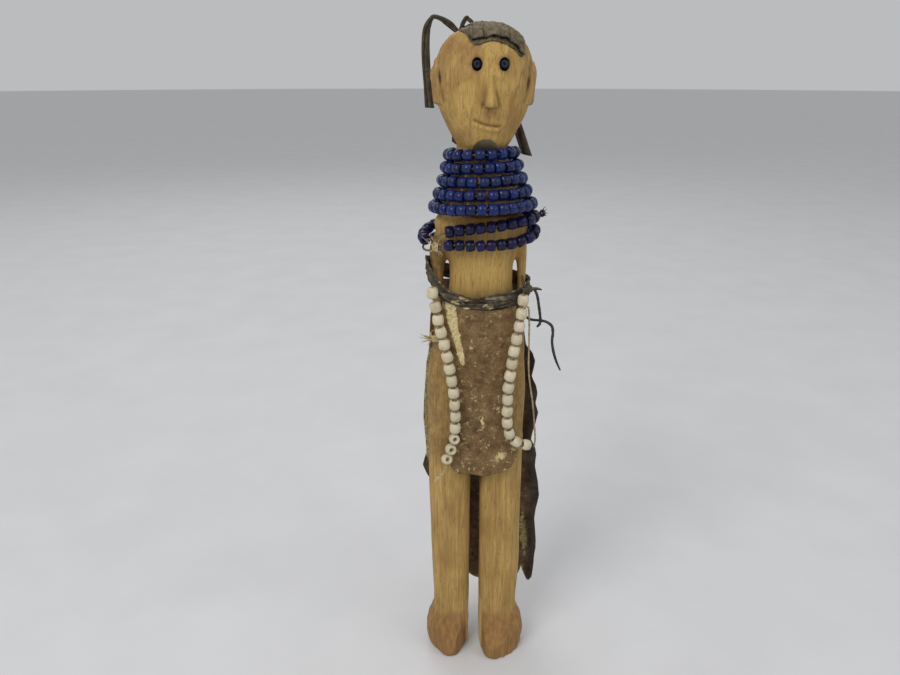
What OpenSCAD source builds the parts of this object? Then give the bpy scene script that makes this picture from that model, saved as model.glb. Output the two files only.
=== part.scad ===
// Carved fertility doll with a beaded neck, a hide apron and a hide back skirt.
// It stands on its feet and faces -Y. The floor is z = 0, and all sizes are millimetres.

/* [Head] */
// Width of the head across the cheeks
head_w = 41; // [34:1:50]
// Depth of the head from the brow to the back
head_d = 37; // [32:1:44]
// Height of the head from the chin to the crown
head_h = 49; // [41:1:60]
// Distance between the two eye sockets
eye_spacing = 10.8; // [8.5:0.1:13]
// Diameter of each drilled eye socket
eye_socket_d = 4.4; // [3.4:0.1:5.4]
// Depth of each eye socket
eye_socket_depth = 3.2; // [2.4:0.1:4]

/* [Body] */
// Diameter of the neck under the top ring of beads
neck_d = 22.4; // [18:0.2:27]
// Width across the shoulders
shoulder_w = 42; // [38:0.5:50]
// Depth of the chest
torso_d = 23; // [19:0.5:27]
// Width of the waist between the arms
waist_w = 28.6; // [25:0.2:32]
// Height from the belt to the top of the shoulders
torso_h = 31; // [26:1:37]
// Width across the hips
hip_w = 47; // [43:0.5:56]
// Height from the crotch to the belt
hip_h = 78; // [68:1:94]
// Distance that the hips and legs sit to one side of the neck
hip_shift = 1.4; // [0:0.1:2]
// Width of each arm
arm_w = 5; // [4:0.1:6]

/* [Legs] */
// Length of the legs from the ankle to the crotch
leg_len = 100; // [83:1:120]
// Depth of each leg
leg_d = 20.5; // [17:0.5:24]
// Width of the saw cut between the legs
leg_gap = 4.6; // [3.6:0.1:6]
// Height of each foot up to the ankle
foot_h = 24; // [20:1:29]
// Distance that the toes reach in front of the leg
toe_reach = 8; // [6:0.5:10]
// Distance that each foot bulges outside its leg
foot_bulge = 2.8; // [1.5:0.1:4]

/* [Beads] */
// Outer diameter of the glass beads
bead_d = 5.3; // [4.6:0.1:6.2]
// Length of a blue bead
bead_len = 3.9; // [3.2:0.1:4.6]
// Length of a white bead
white_bead_len = 5; // [4.2:0.1:6]
// Diameter of the hole through a bead
bead_bore = 1.6; // [1.4:0.1:2]
// Diameter of the bead thread
thread_d = 0.8; // [0.6:0.1:1]
// Space between a ring of beads and the neck
ring_fit = 0.55; // [0.4:0.05:1]

/* [Hide] */
// Thickness of the hide in the apron and the skirt
hide_t = 1; // [0.7:0.1:1.5]
// Length of the apron under the belt
apron_len = 81; // [66:1:97]
// Width of the apron at its top edge
apron_top_w = 33; // [28:0.5:36]
// Width of the apron at its narrowest
apron_mid_w = 21.5; // [18:0.5:26]
// Width of the apron at its bottom edge
apron_low_w = 34; // [29:0.5:41]
// Length of the skirt under the belt
skirt_len = 168; // [140:1:172]
// Width of the skirt at its widest
skirt_w = 59; // [50:0.5:66]
// Width of the upper belt strip
belt_w = 4; // [3.2:0.1:4.8]
// Width of the lower belt strip
belt_low_w = 2.6; // [2:0.1:3.1]
// Thickness of the belt strips
belt_t = 1.4; // [1:0.1:1.8]

/* [Hair] */
// Thickness of the pleated hair strip on the crown
crest_t = 2.6; // [2:0.1:3.4]
// Width of the hanging hair strap
strap_w = 3.8; // [3:0.1:4.6]
// Thickness of the hair straps
strap_t = 1.3; // [0.9:0.1:1.6]
// Length of the hanging side of the hair strap
strap_drop = 36.4; // [30:0.2:43]
// Length of the hair tails behind the neck
tail_len = 30; // [25:1:36]

/* [Thongs] */
// Diameter of the two loose thongs
thong_d = 1.3; // [1:0.1:1.6]

/* [Hidden] */

$fn = 32;
bead_r = bead_d / 2;
touch_gap = 0.15; // left between neighbours that are pressed together on the real doll
swing_gap = 0.4; // left between pieces that move past each other

// Heights, stacked from the floor up
crotch_z = foot_h + leg_len;
waist_z = crotch_z + hip_h;
shoulder_z = waist_z + torso_h;
ring_pitch = bead_d + touch_gap;
neck_h = 5 * ring_pitch + 0.75;
chin_z = shoulder_z + neck_h;

// The neck leans, so the stack of rings leans with it
ring_lean = 3;
ring_roll = -2;
ring_mid_z = shoulder_z + 1.6 + 2.5 * ring_pitch;
function neck_r(i) = neck_d / 2 + 1.2 * i + 0.15 * i * i;
function ring_r(i) = neck_r(i) + ring_fit + bead_r;

// ---------------------------------------------------------------- helpers

// Closed outline of a rounded rectangle between four sides, e sets how square it is
function oval(x0, x1, y0, y1, z, n, e) = [
    for (i = [0 : n - 1])
        let (a = 360 * i / n, c = cos(a), s = sin(a))
        [
            (x0 + x1) / 2 + (x1 - x0) / 2 * sign(c) * pow(abs(c), 2 / e),
            (y0 + y1) / 2 + (y1 - y0) / 2 * sign(s) * pow(abs(s), 2 / e),
            z
        ]
];

// Skin over a stack of outlines that all have n points, listed from the bottom up
module skin(outlines, n) {
    last = len(outlines) - 1;
    polyhedron(
        points = [for (o = outlines) each o],
        faces = concat(
            [[for (i = [0 : n - 1]) i]],
            [[for (i = [n - 1 : -1 : 0]) last * n + i]],
            [for (k = [0 : last - 1], i = [0 : n - 1])
                let (j = (i + 1) % n)
                each [
                    [k * n + i, (k + 1) * n + i, (k + 1) * n + j],
                    [k * n + i, (k + 1) * n + j, k * n + j]
                ]]
        )
    );
}

// Solid over sections of [z, left, right, front, back]
module loft(sections, n = 24, e = 2.4) {
    skin([for (s = sections) oval(s[1], s[2], s[3], s[4], s[0], n, e)], n);
}

// Thin sheet over rows of [z, left, right, y], with a bow and a ripple across it
function sheet_y(row, x, bow, ripple) =
    row[3] + bow * pow(x / 20, 2) + ripple * sin(16 * x + 2.4 * row[0]);
module sheet(rows, columns, t, bow, ripple = 0) {
    last = len(rows) - 1;
    function spot(k, i, side) = (k + (side > 0 ? last + 1 : 0)) * (columns + 1) + i;
    function front(k, i) = spot(k, i, -1);
    function back(k, i) = spot(k, i, 1);
    polyhedron(
        points = [for (side = [-1, 1], row = rows, i = [0 : columns])
            let (x = row[1] + (row[2] - row[1]) * i / columns)
            [x, sheet_y(row, x, bow, ripple) + side * t / 2, row[0]]],
        faces = concat(
            [for (k = [0 : last - 1], i = [0 : columns - 1]) each [
                [front(k, i), front(k + 1, i), front(k + 1, i + 1)],
                [front(k, i), front(k + 1, i + 1), front(k, i + 1)],
                [back(k, i), back(k + 1, i + 1), back(k + 1, i)],
                [back(k, i), back(k, i + 1), back(k + 1, i + 1)]
            ]],
            [for (k = [0 : last - 1]) each [
                [back(k, 0), back(k + 1, 0), front(k + 1, 0)],
                [back(k, 0), front(k + 1, 0), front(k, 0)],
                [front(k, columns), front(k + 1, columns), back(k + 1, columns)],
                [front(k, columns), back(k + 1, columns), back(k, columns)]
            ]],
            [for (i = [0 : columns - 1]) each [
                [front(0, i + 1), back(0, i + 1), back(0, i), front(0, i)],
                [front(last, i), back(last, i), back(last, i + 1), front(last, i + 1)]
            ]]
        )
    );
}

// Height at angle a of a loop whose heights are listed every 30 degrees
function loop_z(a, heights) =
    let (
        u = (a % 360) / 30,
        k = floor(u),
        t = u - k,
        h = [for (j = [-1 : 2]) heights[(k + j + 12) % 12]]
    )
    h[1] + t / 2 * (h[2] - h[0] + t * (2 * h[0] - 5 * h[1] + 4 * h[2] - h[3]
        + t * (3 * (h[1] - h[2]) + h[3] - h[0])));

// Loop round the body: angle 0 is the doll's left hand side at +X, 90 its back
function loop_point(a, half_w, half_d, heights) =
    let (c = cos(a), s = sin(a), e = 2.4)
    [
        loop_x + half_w * sign(c) * pow(abs(c), 2 / e),
        half_d * sign(s) * pow(abs(s), 2 / e),
        loop_z(a, heights)
    ];

// Running length along a list of points
function lengths(p, i = 0, so_far = 0) =
    i == len(p) - 1 ? [so_far]
    : concat([so_far], lengths(p, i + 1, so_far + norm(p[i + 1] - p[i])));

// Point at the running length s along p
function along(p, run, s) = [
    for (k = [0 : 2]) lookup(s, [for (i = [0 : len(p) - 1]) [run[i], p[i][k]]])
];

// Cord of round section swept along points, up is any direction that it never runs along
module cord(p, d, sides = 8, up = [0, 1, 0], closed = false) {
    last = len(p) - 1;
    function unit(v) = v / norm(v);
    function near(i) = closed ? (i + len(p)) % len(p) : min(last, max(0, i));
    function ring(i) =
        let (
            t = unit(p[near(i + 1)] - p[near(i - 1)]),
            u = unit(cross(t, up)),
            v = cross(t, u)
        )
        [for (k = [0 : sides - 1])
            let (a = 360 * k / sides)
            p[i] + d / 2 * (cos(a) * u + sin(a) * v)];
    if (closed) {
        polyhedron(
            points = [for (i = [0 : last]) each ring(i)],
            faces = [for (i = [0 : last], k = [0 : sides - 1])
                let (m = (k + 1) % sides, j = (i + 1) % len(p))
                each [
                    [i * sides + k, j * sides + k, j * sides + m],
                    [i * sides + k, j * sides + m, i * sides + m]
                ]]
        );
    } else {
        skin([for (i = [0 : last]) ring(i)], sides);
    }
}

// Flat strip that stands on edge round a loop
module loop_strip(p, w, t) {
    n = len(p);
    function out(i) =
        let (d = p[(i + 1) % n] - p[(i + n - 1) % n])
        [d[1], -d[0], 0] / norm([d[0], d[1]]);
    corners = [[-1, -1], [-1, 1], [1, 1], [1, -1]];
    polyhedron(
        points = [for (i = [0 : n - 1]) for (c = corners)
            p[i] + out(i) * c[0] * t / 2 + [0, 0, c[1] * w / 2]],
        faces = [for (i = [0 : n - 1], k = [0 : 3])
            let (m = (k + 1) % 4, j = (i + 1) % n)
            each [
                [i * 4 + k, j * 4 + k, j * 4 + m],
                [i * 4 + k, j * 4 + m, i * 4 + m]
            ]]
    );
}

// One drilled bead with its hole along Z: a drum with sloping shoulders
module bead(length) {
    end_r = bead_r * 0.72;
    shoulder_r = bead_r * 0.93;
    rotate_extrude()
        polygon([
            [bead_bore / 2, -length / 2], [end_r, -length / 2],
            [shoulder_r, -0.32 * length], [bead_r, -0.12 * length],
            [bead_r, 0.12 * length], [shoulder_r, 0.32 * length],
            [end_r, length / 2], [bead_bore / 2, length / 2]
        ]);
}

// Turns a bead from Z to the direction d
module face(d) {
    rotate([0, acos(d[2] / norm(d)), atan2(d[1], d[0])])
        children();
}

// Beads strung evenly along points, from the running length start on
module strung(p, start, count, pitch, length) {
    run = lengths(p);
    for (i = [0 : count - 1]) {
        s = start + i * pitch;
        here = along(p, run, s);
        ahead = along(p, run, s + 0.5) - along(p, run, s - 0.5);
        translate(here)
            face(ahead)
                bead(length);
    }
}

// ---------------------------------------------------------------- carved wood

// The head's profile, as shares of its height, half width and half depth
head_profile = [
    [0, 0.45, 0.60, 0.50], [0.05, 0.54, 0.70, 0.60], [0.16, 0.70, 0.82, 0.74],
    [0.33, 0.89, 0.94, 0.90], [0.5, 0.98, 1.00, 0.98], [0.63, 1.00, 1.00, 1.00],
    [0.75, 0.95, 0.96, 0.97], [0.84, 0.85, 0.86, 0.88], [0.92, 0.66, 0.68, 0.70],
    [0.97, 0.42, 0.44, 0.46], [1, 0.10, 0.12, 0.12]
];
function head_sections(g) = [
    for (p = head_profile) [
        chin_z + p[0] * head_h + g * (2 * p[0] - 1),
        -(p[1] * head_w / 2 + g), p[1] * head_w / 2 + g,
        -(p[2] * head_d / 2 + g), p[3] * head_d / 2 + g
    ]
];
eye_z = chin_z + 0.69 * head_h;
eye_x = 2;
ear_z = chin_z + 0.5 * head_h;

module head() {
    loft(head_sections(0), 28, 2.2);
    nose_y = -head_d / 2;
    hull() {
        translate([eye_x, nose_y + 1, chin_z + 0.6 * head_h]) sphere(r = 1.5);
        translate([eye_x, nose_y + 0.4, chin_z + 0.4 * head_h]) sphere(r = 2.5);
    }
    for (side = [-1, 1])
        hull() {
            translate([side * (head_w / 2 - 1), 1, ear_z + 6]) sphere(r = 2);
            translate([side * (head_w / 2 - 1.6), 2, ear_z - 5]) sphere(r = 1.6);
            translate([side * (head_w / 2 - 1), 4, ear_z + 3]) sphere(r = 2);
        }
}

// Round neck that widens down to the shoulders in the rings' own frame
module ring_frame() {
    translate([0, 0, ring_mid_z])
        rotate([-ring_lean, ring_roll, 0])
            children();
}
module neck() {
    ring_frame()
        rotate_extrude($fn = 64)
            polygon(concat(
                [[0, -2.5 * ring_pitch], [0, 2.5 * ring_pitch + 1.5]],
                [[neck_r(0) - 0.8, 2.5 * ring_pitch + 1.5]],
                [for (i = [0 : 4]) [neck_r(i), (2 - i) * ring_pitch]],
                [[neck_r(4), -2.5 * ring_pitch]]
            ));
}

arm_out = shoulder_w / 2 + 0.4;
arm_in = arm_out - arm_w;
lower_x = -hip_shift;
hip_l = lower_x - hip_w / 2;
hip_r = lower_x + hip_w / 2;
chest_y = torso_d / 2;
hip_y = torso_d / 2 + 0.3;
armpit_z = shoulder_z - 17;
hand_z = waist_z - 34;

module torso() {
    loft([
        [crotch_z - 6, hip_l + 0.6, hip_r - 0.6, -hip_y + 1.2, hip_y - 1.2],
        [crotch_z + 10, hip_l + 0.2, hip_r - 0.2, -hip_y + 0.4, hip_y - 0.4],
        [crotch_z + 0.34 * hip_h, hip_l, hip_r, -hip_y, hip_y],
        [crotch_z + 0.5 * hip_h, hip_l + 1.2, hip_r - 0.8, -hip_y + 0.2, hip_y],
        [hand_z + 6, -waist_w / 2 - 4.5, waist_w / 2 + 3.5, -hip_y + 0.8, hip_y - 0.6],
        [waist_z - 12, -waist_w / 2 - 1, waist_w / 2 + 0.8, -chest_y + 1.2, chest_y - 1],
        [waist_z, -waist_w / 2, waist_w / 2, -chest_y + 1.4, chest_y - 1.2],
        [armpit_z - 6, -waist_w / 2, waist_w / 2, -chest_y + 1, chest_y - 1],
        [armpit_z + 2, -waist_w / 2 - 1.4, waist_w / 2 + 1.4, -chest_y + 0.4, chest_y - 0.4],
        [armpit_z + 7, -shoulder_w / 2 + 1, shoulder_w / 2 - 1, -chest_y, chest_y],
        [shoulder_z - 3, -shoulder_w / 2, shoulder_w / 2 - 0.5, -chest_y, chest_y],
        [shoulder_z, -shoulder_w / 2 + 2, shoulder_w / 2 - 2.5, -chest_y + 1.2, chest_y - 1.2]
    ], 28, 2.6);
}

// Arms that part from the chest at the armpit and join the hip again at the hand
bound_arm = [
    [hand_z - 8, hip_l + 1.2, hip_l + 7, -3.5, 3.5],
    [hand_z, -arm_out - 1, -arm_out + 4.4, -3.5, 3.5],
    [waist_z - 16, -arm_out + 0.4, -arm_out + arm_w - 1, -3.2, 3.2],
    [waist_z + 2, -arm_out + 0.2, -arm_in - 0.6, -3.4, 3.4],
    [armpit_z - 4, -arm_out - 1.4, -arm_in - 0.2, -4.2, 4],
    [armpit_z + 3, -arm_out - 1, -arm_in + 1.4, -5, 5],
    [armpit_z + 9, -arm_out + 1.4, -arm_in + 2, -6, 6]
];
free_arm = [
    [hand_z - 8, hip_r - 7, hip_r - 1.2, -3.5, 3.5],
    [hand_z, arm_out - 4.2, arm_out - 0.2, -3.5, 3.5],
    [waist_z - 16, arm_in + 0.9, arm_out - 1, -3.2, 3.2],
    [waist_z + 2, arm_in + 0.5, arm_out - 1, -3.4, 3.4],
    [armpit_z - 2, arm_in - 0.4, arm_out - 0.8, -4, 4],
    [armpit_z + 3, arm_in - 1.4, arm_out - 0.9, -5, 5],
    [armpit_z + 9, arm_in - 2, arm_out - 1.6, -6, 6]
];
module arm(sections) {
    loft(sections, 14, 2.4);
}

leg_y = leg_d / 2;
cut_l = lower_x - leg_gap / 2;
cut_r = lower_x + leg_gap / 2;
leg_w = (hip_w - leg_gap) / 2;

// One leg with its foot: inner is the saw cut's side and out is +1 or -1
module leg(inner, out, ankle_w, toes) {
    function x0(a, b) = min(inner + out * a, inner + out * b);
    function x1(a, b) = max(inner + out * a, inner + out * b);
    function level(z, a, b, front, back) = [z, x0(a, b), x1(a, b), front, back];
    loft([
        level(0, 1.6, ankle_w + 0.8, -leg_y - toes + 0.8, leg_y - 0.6),
        level(2.4, 0.8, ankle_w + foot_bulge - 0.4, -leg_y - toes, leg_y + 0.2),
        level(0.3 * foot_h, 0.5, ankle_w + foot_bulge, -leg_y - 0.85 * toes, leg_y + 0.4),
        level(0.6 * foot_h, 0.4, ankle_w + 0.7 * foot_bulge, -leg_y - 0.45 * toes, leg_y),
        level(foot_h, 0.4, ankle_w, -leg_y, leg_y - 0.3),
        level(foot_h + 0.35 * leg_len, 0.2, ankle_w + 0.2, -leg_y, leg_y),
        level(foot_h + 0.75 * leg_len, 0, leg_w - 0.5, -leg_y, leg_y),
        level(crotch_z + 4, 0, leg_w - 0.4, -leg_y - 0.4, leg_y + 0.2)
    ], 24, 3);
}

module carved_body() {
    color([0.78, 0.60, 0.36])
        difference() {
            union() {
                head();
                neck();
                torso();
                arm(bound_arm);
                arm(free_arm);
                leg(cut_l, -1, leg_w - 1.6, toe_reach - 2.5);
                leg(cut_r, 1, leg_w - 0.4, toe_reach);
            }
            for (side = [-1, 1])
                translate([eye_x + side * eye_spacing / 2, -head_d, eye_z])
                    rotate([-90, 0, 0])
                        cylinder(d = eye_socket_d, h = head_d / 2 + eye_socket_depth + 1.2);
        }
}

// ---------------------------------------------------------------- eyes

// Dark glass bead pressed into each eye socket
module eye_beads() {
    eye_bead_r = (eye_socket_d - touch_gap) / 2;
    color([0.10, 0.12, 0.22])
        for (side = [-1, 1])
            translate([
                eye_x + side * eye_spacing / 2,
                -head_d / 2 + eye_socket_depth + 1.2 - eye_bead_r,
                eye_z
            ])
                sphere(r = eye_bead_r);
}

// ---------------------------------------------------------------- hair

// How steeply the head falls away from its crown
crown_fall = head_h / 49;

// Band of hide that follows the head, seen from the front as the outline points
module head_band(low, high, outline) {
    intersection() {
        difference() {
            loft(head_sections(high), 28, 2.2);
            loft(head_sections(low), 28, 2.2);
        }
        translate([0, 0, chin_z + head_h])
            rotate([90, 0, 0])
                linear_extrude(head_d)
                    scale([1, crown_fall])
                        polygon(outline);
    }
}
module hair_crest() {
    color([0.40, 0.33, 0.25])
        head_band(touch_gap + 0.9, touch_gap + crest_t, [
            [-9, -6], [-7, -8.5], [-1, -7.4], [6, -8.5], [12, -12], [15.5, -16],
            [20, -14], [20, 8], [-9, 8]
        ]);
}
module hair_underlayer() {
    color([0.30, 0.24, 0.18])
        head_band(touch_gap, touch_gap + 0.8, [
            [-8, -6], [-6, -10], [-1, -9], [6, -10], [12, -13.5], [14.5, -17.5],
            [19, -15], [19, 8], [-8, 8]
        ]);
}

// Flat strip seen from the front: outline points about the crown, t thick about y
module flat_strip(y, t, outline) {
    translate([0, y + t / 2, 0])
        rotate([90, 0, 0])
            linear_extrude(t)
                polygon(outline);
}
crown_z = chin_z + head_h;
strap_x = -11.4;
strap_z = crown_z - 1.4;
strap_y = 3.2;
loop_y = 1.2;
module hair_loop() {
    color([0.33, 0.27, 0.20])
        translate([-8.6, 0, crown_z - 1.2 * crown_fall])
            flat_strip(loop_y, strap_t, [
                [-1.8, -0.7], [-1.1, 1.8], [0.5, 4.2], [1.9, 4.6], [4.3, 2.6],
                [3.4, 1.6], [1.6, 2.9], [0.6, 1.2], [-0.6, -0.4]
            ]);
}
// The strap rises from the crown, turns over and hangs beside the head
module hair_strap() {
    rise = 5.2;
    out = -14.4;
    in = out + strap_w - 0.4;
    end = rise - strap_drop;
    color([0.30, 0.25, 0.18])
        translate([strap_x, 0, strap_z])
            flat_strip(strap_y, strap_t, [
                [-0.6, -0.6], [-3.1, 0.5], [-5.4, 2.3], [-8.6, rise - 2.4], [in + 1.1, rise - 5],
                [in, rise - 8.4], [in, rise - 15], [in + 0.2, rise - 23], [in + 1.8, end],
                [out + 1.2, end], [out + 0.8, rise - 26], [out, rise - 18.6], [out, rise - 10],
                [out + 0.8, rise - 4.4], [out + 2.8, rise - 1.6], [out + 5.1, rise],
                [-5.4, rise - 0.7], [-2, 2.9], [0.4, 0.6]
            ]);
}

// Tails that come over the crown, lie down the back of the head and hang behind the neck
tail_y = head_d / 2 + touch_gap + 0.9;
tail_top = chin_z + 0.7 * head_h;
module hair_tail(x, hang) {
    color([0.26, 0.21, 0.16]) {
        intersection() {
            difference() {
                loft(head_sections(touch_gap + 1.6), 28, 2.2);
                loft(head_sections(touch_gap), 28, 2.2);
            }
            translate([x, strap_y - 0.8, tail_top - 4])
                cube([4, head_d, head_h]);
        }
        translate([x, 0, tail_top])
            flat_strip(tail_y, strap_t, hang);
    }
}
module hair_tail_left() {
    hair_tail(-9, [
        [0, 0], [4, 0], [2.4, -0.5 * tail_len - 12], [0, -0.75 * tail_len - 12],
        [-3, -0.7 * tail_len - 12]
    ]);
}
module hair_tail_right() {
    hair_tail(5, [
        [0, 0], [4, 0], [9, -0.3 * tail_len - 8], [16.5, -0.66 * tail_len - 14],
        [14, -0.72 * tail_len - 14], [9.6, -0.5 * tail_len - 12], [3, -0.2 * tail_len - 8]
    ]);
}

// ---------------------------------------------------------------- neck rings

bead_gap = 0.05;
bead_end_r = bead_r * 0.72;
function ring_count(i) =
    floor(2 * PI * (ring_r(i) - bead_end_r) / (bead_len + bead_gap));

module neck_beads(i) {
    count = ring_count(i);
    color([0.10, 0.16, 0.60])
        ring_frame()
            translate([0, 0, (2 - i) * ring_pitch])
                for (k = [0 : count - 1])
                    rotate([0, 0, 360 * k / count])
                        translate([ring_r(i), 0, 0])
                            rotate([90, 0, 0])
                                bead(bead_len);
}
module neck_thread(i) {
    color([0.45, 0.36, 0.26])
        ring_frame()
            translate([0, 0, (2 - i) * ring_pitch])
                rotate_extrude($fn = 96)
                    translate([ring_r(i), 0])
                        circle(d = thread_d, $fn = 16);
}

// ---------------------------------------------------------------- chest strands

// Both turns lie round the shoulders, outside the arms
loop_x = -1.2;
strand_w = shoulder_w / 2 + 1.4 + bead_r - touch_gap;
strand_d = chest_y + bead_r + 2 * touch_gap;
upper_drop = [-0.8, -1.6, -2.4, -3.2, -5, -7.5, -9.8, -9.8, -5.6, -3.6, -1.8, -0.8];
lower_drop = [-1.6, -2.3, -3.3, -4.3, -6.1, -8.1, -9.3, -9.3, -6.1, -5.9, -5.1, -3.3];
lower_turn_z = shoulder_z - bead_d;
function below(z, drops) = [for (d = drops) z + d];
function strand_path(z, drops, from, to) = [
    for (a = [from : 3 : to])
        loop_point(a, strand_w, strand_d, below(z, drops))
];
blue_pitch = bead_len + 0.6;
// The upper turn's beads stop at the knot in front of the arm at -X
upper_path = strand_path(shoulder_z, upper_drop, 240, 567);
lower_path = strand_path(lower_turn_z, lower_drop, 240, 510);
function path_length(p) = lengths(p)[len(p) - 1];
function fitting(p, pitch) = floor((path_length(p) - 1) / pitch);

module chest_beads_upper() {
    color([0.12, 0.12, 0.42])
        strung(upper_path, 1, fitting(upper_path, blue_pitch), blue_pitch, bead_len);
}
module chest_beads_lower() {
    color([0.12, 0.12, 0.42])
        strung(lower_path, 1, fitting(lower_path, blue_pitch), blue_pitch, bead_len);
}
module chest_thread(z, drops) {
    color([0.48, 0.38, 0.24])
        cord([
            for (a = [0 : 5 : 355])
                loop_point(a, strand_w, strand_d, below(z, drops))
        ], thread_d, 6, [0, 0, 1], true);
}

// Sinew tied where the two turns come together
knot_r = 1.5;
module chest_knot_left() {
    color([0.80, 0.70, 0.48])
        translate(loop_point(222, strand_w, strand_d, below(shoulder_z, upper_drop)) + [0, -1.4, -2.4]) {
            rotate([0, 0, 90])
                sphere(r = knot_r);
            for (a = [75, 115, 160, 200])
                rotate([0, -a + 90, 0])
                    cylinder(d = 0.6, h = 6, $fn = 16);
        }
}
module chest_knot_right() {
    color([0.22, 0.18, 0.22])
        translate(loop_point(2, strand_w, strand_d, below(shoulder_z, upper_drop)) + [bead_r + 0.9, 0, 1.1]) {
            rotate([0, 0, 90])
                sphere(r = 1.2);
            for (a = [-10, 65])
                rotate([0, -a + 90, 0])
                    cylinder(d = 0.7, h = 3, $fn = 16);
        }
}

// ---------------------------------------------------------------- belt

belt_half_w = arm_out + 1 + belt_t / 2 + touch_gap;
belt_half_d = chest_y + 1.8 + belt_t;
belt_drop = [0, 0, 1, 1.5, 3, 6.5, 10, 5, -2.6, -4, -3, -1.2];
belt_step = (belt_w + belt_low_w) / 2 + touch_gap;
module belt_upper_strip() {
    color([0.27, 0.23, 0.17])
        loop_strip([
            for (a = [0 : 7.5 : 352.5])
                loop_point(a, belt_half_w, belt_half_d, below(waist_z, belt_drop))
        ], belt_w, belt_t);
}
module belt_lower_strip() {
    color([0.34, 0.28, 0.20])
        loop_strip([
            for (a = [0 : 7.5 : 352.5])
                loop_point(a, belt_half_w, belt_half_d, below(waist_z - belt_step, belt_drop))
        ], belt_low_w, belt_t);
}
module belt_knot() {
    color([0.24, 0.19, 0.14])
        translate(loop_point(330, belt_half_w, belt_half_d, below(waist_z, belt_drop))
            + [0.6, -belt_t / 2 - 2.5, 0.8])
            rotate([0, 80, 20])
                rotate_extrude()
                    polygon([
                        [0, -2.6], [1, -2.4], [1.2, -1.4], [1.8, -0.7],
                        [1.8, 0.7], [1.2, 1.4], [1, 2.4], [0, 2.6]
                    ]);
}

// Frayed grass tied round the outside of the wrist at -X
function grown(sections, g) = [
    for (s = sections) [s[0], s[1] - g, s[2] + g, s[3] - g, s[4] + g]
];
module arm_binding() {
    low_z = waist_z - 28;
    width = 3.2;
    outer_x = -arm_out - 0.4;
    color([0.74, 0.64, 0.40]) {
        difference() {
            intersection() {
                arm(grown(bound_arm, 1.2));
                translate([-2 * arm_out, -torso_d, low_z])
                    cube([arm_out + 2.2, 2 * torso_d, width]);
            }
            arm(grown(bound_arm, touch_gap));
        }
        for (k = [0 : 2])
            translate([outer_x, -1.5, low_z + 0.6 + k])
                rotate([0, -70 - 14 * k, 0])
                    cylinder(d = 0.6, h = 4.5, $fn = 16);
    }
}

// ---------------------------------------------------------------- apron

hinge_y = -(belt_half_d + 0.8);
hinge_z = waist_z - 5.5;
apron_top = hinge_z - 4.8;
apron_y = -(belt_half_d + 0.2);
apron_bow = 3.4;
// The lower edge leans forward over the thighs
function apron_row(share, half_l, half_r) =
    [apron_top - share * apron_len, -half_l, half_r, apron_y - 1.4 * share];
apron_x = -0.2;
apron_rows = [
    for (r = [
        [1, 0.24 * apron_low_w, 0.30 * apron_low_w],
        [0.975, 0.38 * apron_low_w, 0.42 * apron_low_w],
        [0.91, 0.41 * apron_low_w, 0.52 * apron_low_w],
        [0.85, 0.37 * apron_low_w, 0.58 * apron_low_w],
        [0.76, 0.49 * apron_mid_w, 0.58 * apron_mid_w],
        [0.62, 0.47 * apron_mid_w, 0.54 * apron_mid_w],
        [0.45, 0.52 * apron_mid_w, 0.54 * apron_mid_w],
        [0.24, 0.42 * apron_top_w, 0.41 * apron_top_w],
        [0.08, 0.50 * apron_top_w, 0.47 * apron_top_w],
        [0, 0.52 * apron_top_w, 0.48 * apron_top_w]
    ]) apron_row(r[0], r[1] - apron_x, r[2] + apron_x)
];
module apron() {
    color([0.42, 0.30, 0.18])
        sheet(apron_rows, 8, hide_t, apron_bow);
}
// The part of the apron that stays tucked up behind the belt, thinned by wear
hem_t = 0.8 * hide_t;
hem_depth = (belt_t + hem_t) / 2 + 2.5 * touch_gap;
hem_bow = 4.3;
module apron_hem() {
    top_row = apron_rows[len(apron_rows) - 1];
    hem_y = -belt_half_d + hem_depth;
    color([0.36, 0.26, 0.16])
        sheet([
            [apron_top + swing_gap, top_row[1] + 3, top_row[2] - 3, hem_y],
            [apron_top + 6, top_row[1] + 3, top_row[2] - 3, hem_y]
        ], 8, hem_t, hem_bow);
}

// The white strings hang down the apron's two edges, in front of the hide
string_out = 0.9;
function edge_x(z, column) =
    lookup(z, [for (r = apron_rows) [r[0], r[column]]]);
function string_point(x, z) = [
    x,
    apron_y - 1.4 * (apron_top - z) / apron_len + apron_bow * pow(x / 20, 2)
        - hide_t / 2 - bead_r - touch_gap - 0.3,
    z
];
string_top = hinge_z - 1;
string_low = apron_top - apron_len + 4;
turn_z = apron_top - 0.66 * apron_len;
left_string = [
    for (share = [0 : 0.05 : 1])
        let (z = string_top + share * (string_low - string_top))
        string_point(edge_x(z, 1) - string_out - 2.2 * pow(1 - share, 6) - 1.6 * pow(share, 6), z)
];
// The string at +X turns out sideways at its lower end
turn_x = edge_x(turn_z, 2) + string_out;
right_string = concat(
    [for (share = [0 : 0.0625 : 1])
        let (z = string_top - 2.8 + share * (turn_z - string_top + 2.8))
        string_point(edge_x(z, 2) + string_out + 1.2 * pow(1 - share, 6), z)],
    [for (step = [[0.9, -4.2], [2.8, -7.8], [5.8, -10.4], [9.8, -11.8]])
        string_point(turn_x + step[0], turn_z + step[1])]
);
white_pitch = white_bead_len + 0.85;
module apron_beads_left() {
    color([0.88, 0.86, 0.80])
        strung(left_string, 1, fitting(left_string, white_pitch), white_pitch, white_bead_len);
}
module apron_beads_right() {
    color([0.88, 0.86, 0.80])
        strung(right_string, 1, fitting(right_string, white_pitch), white_pitch, white_bead_len);
}
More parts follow.
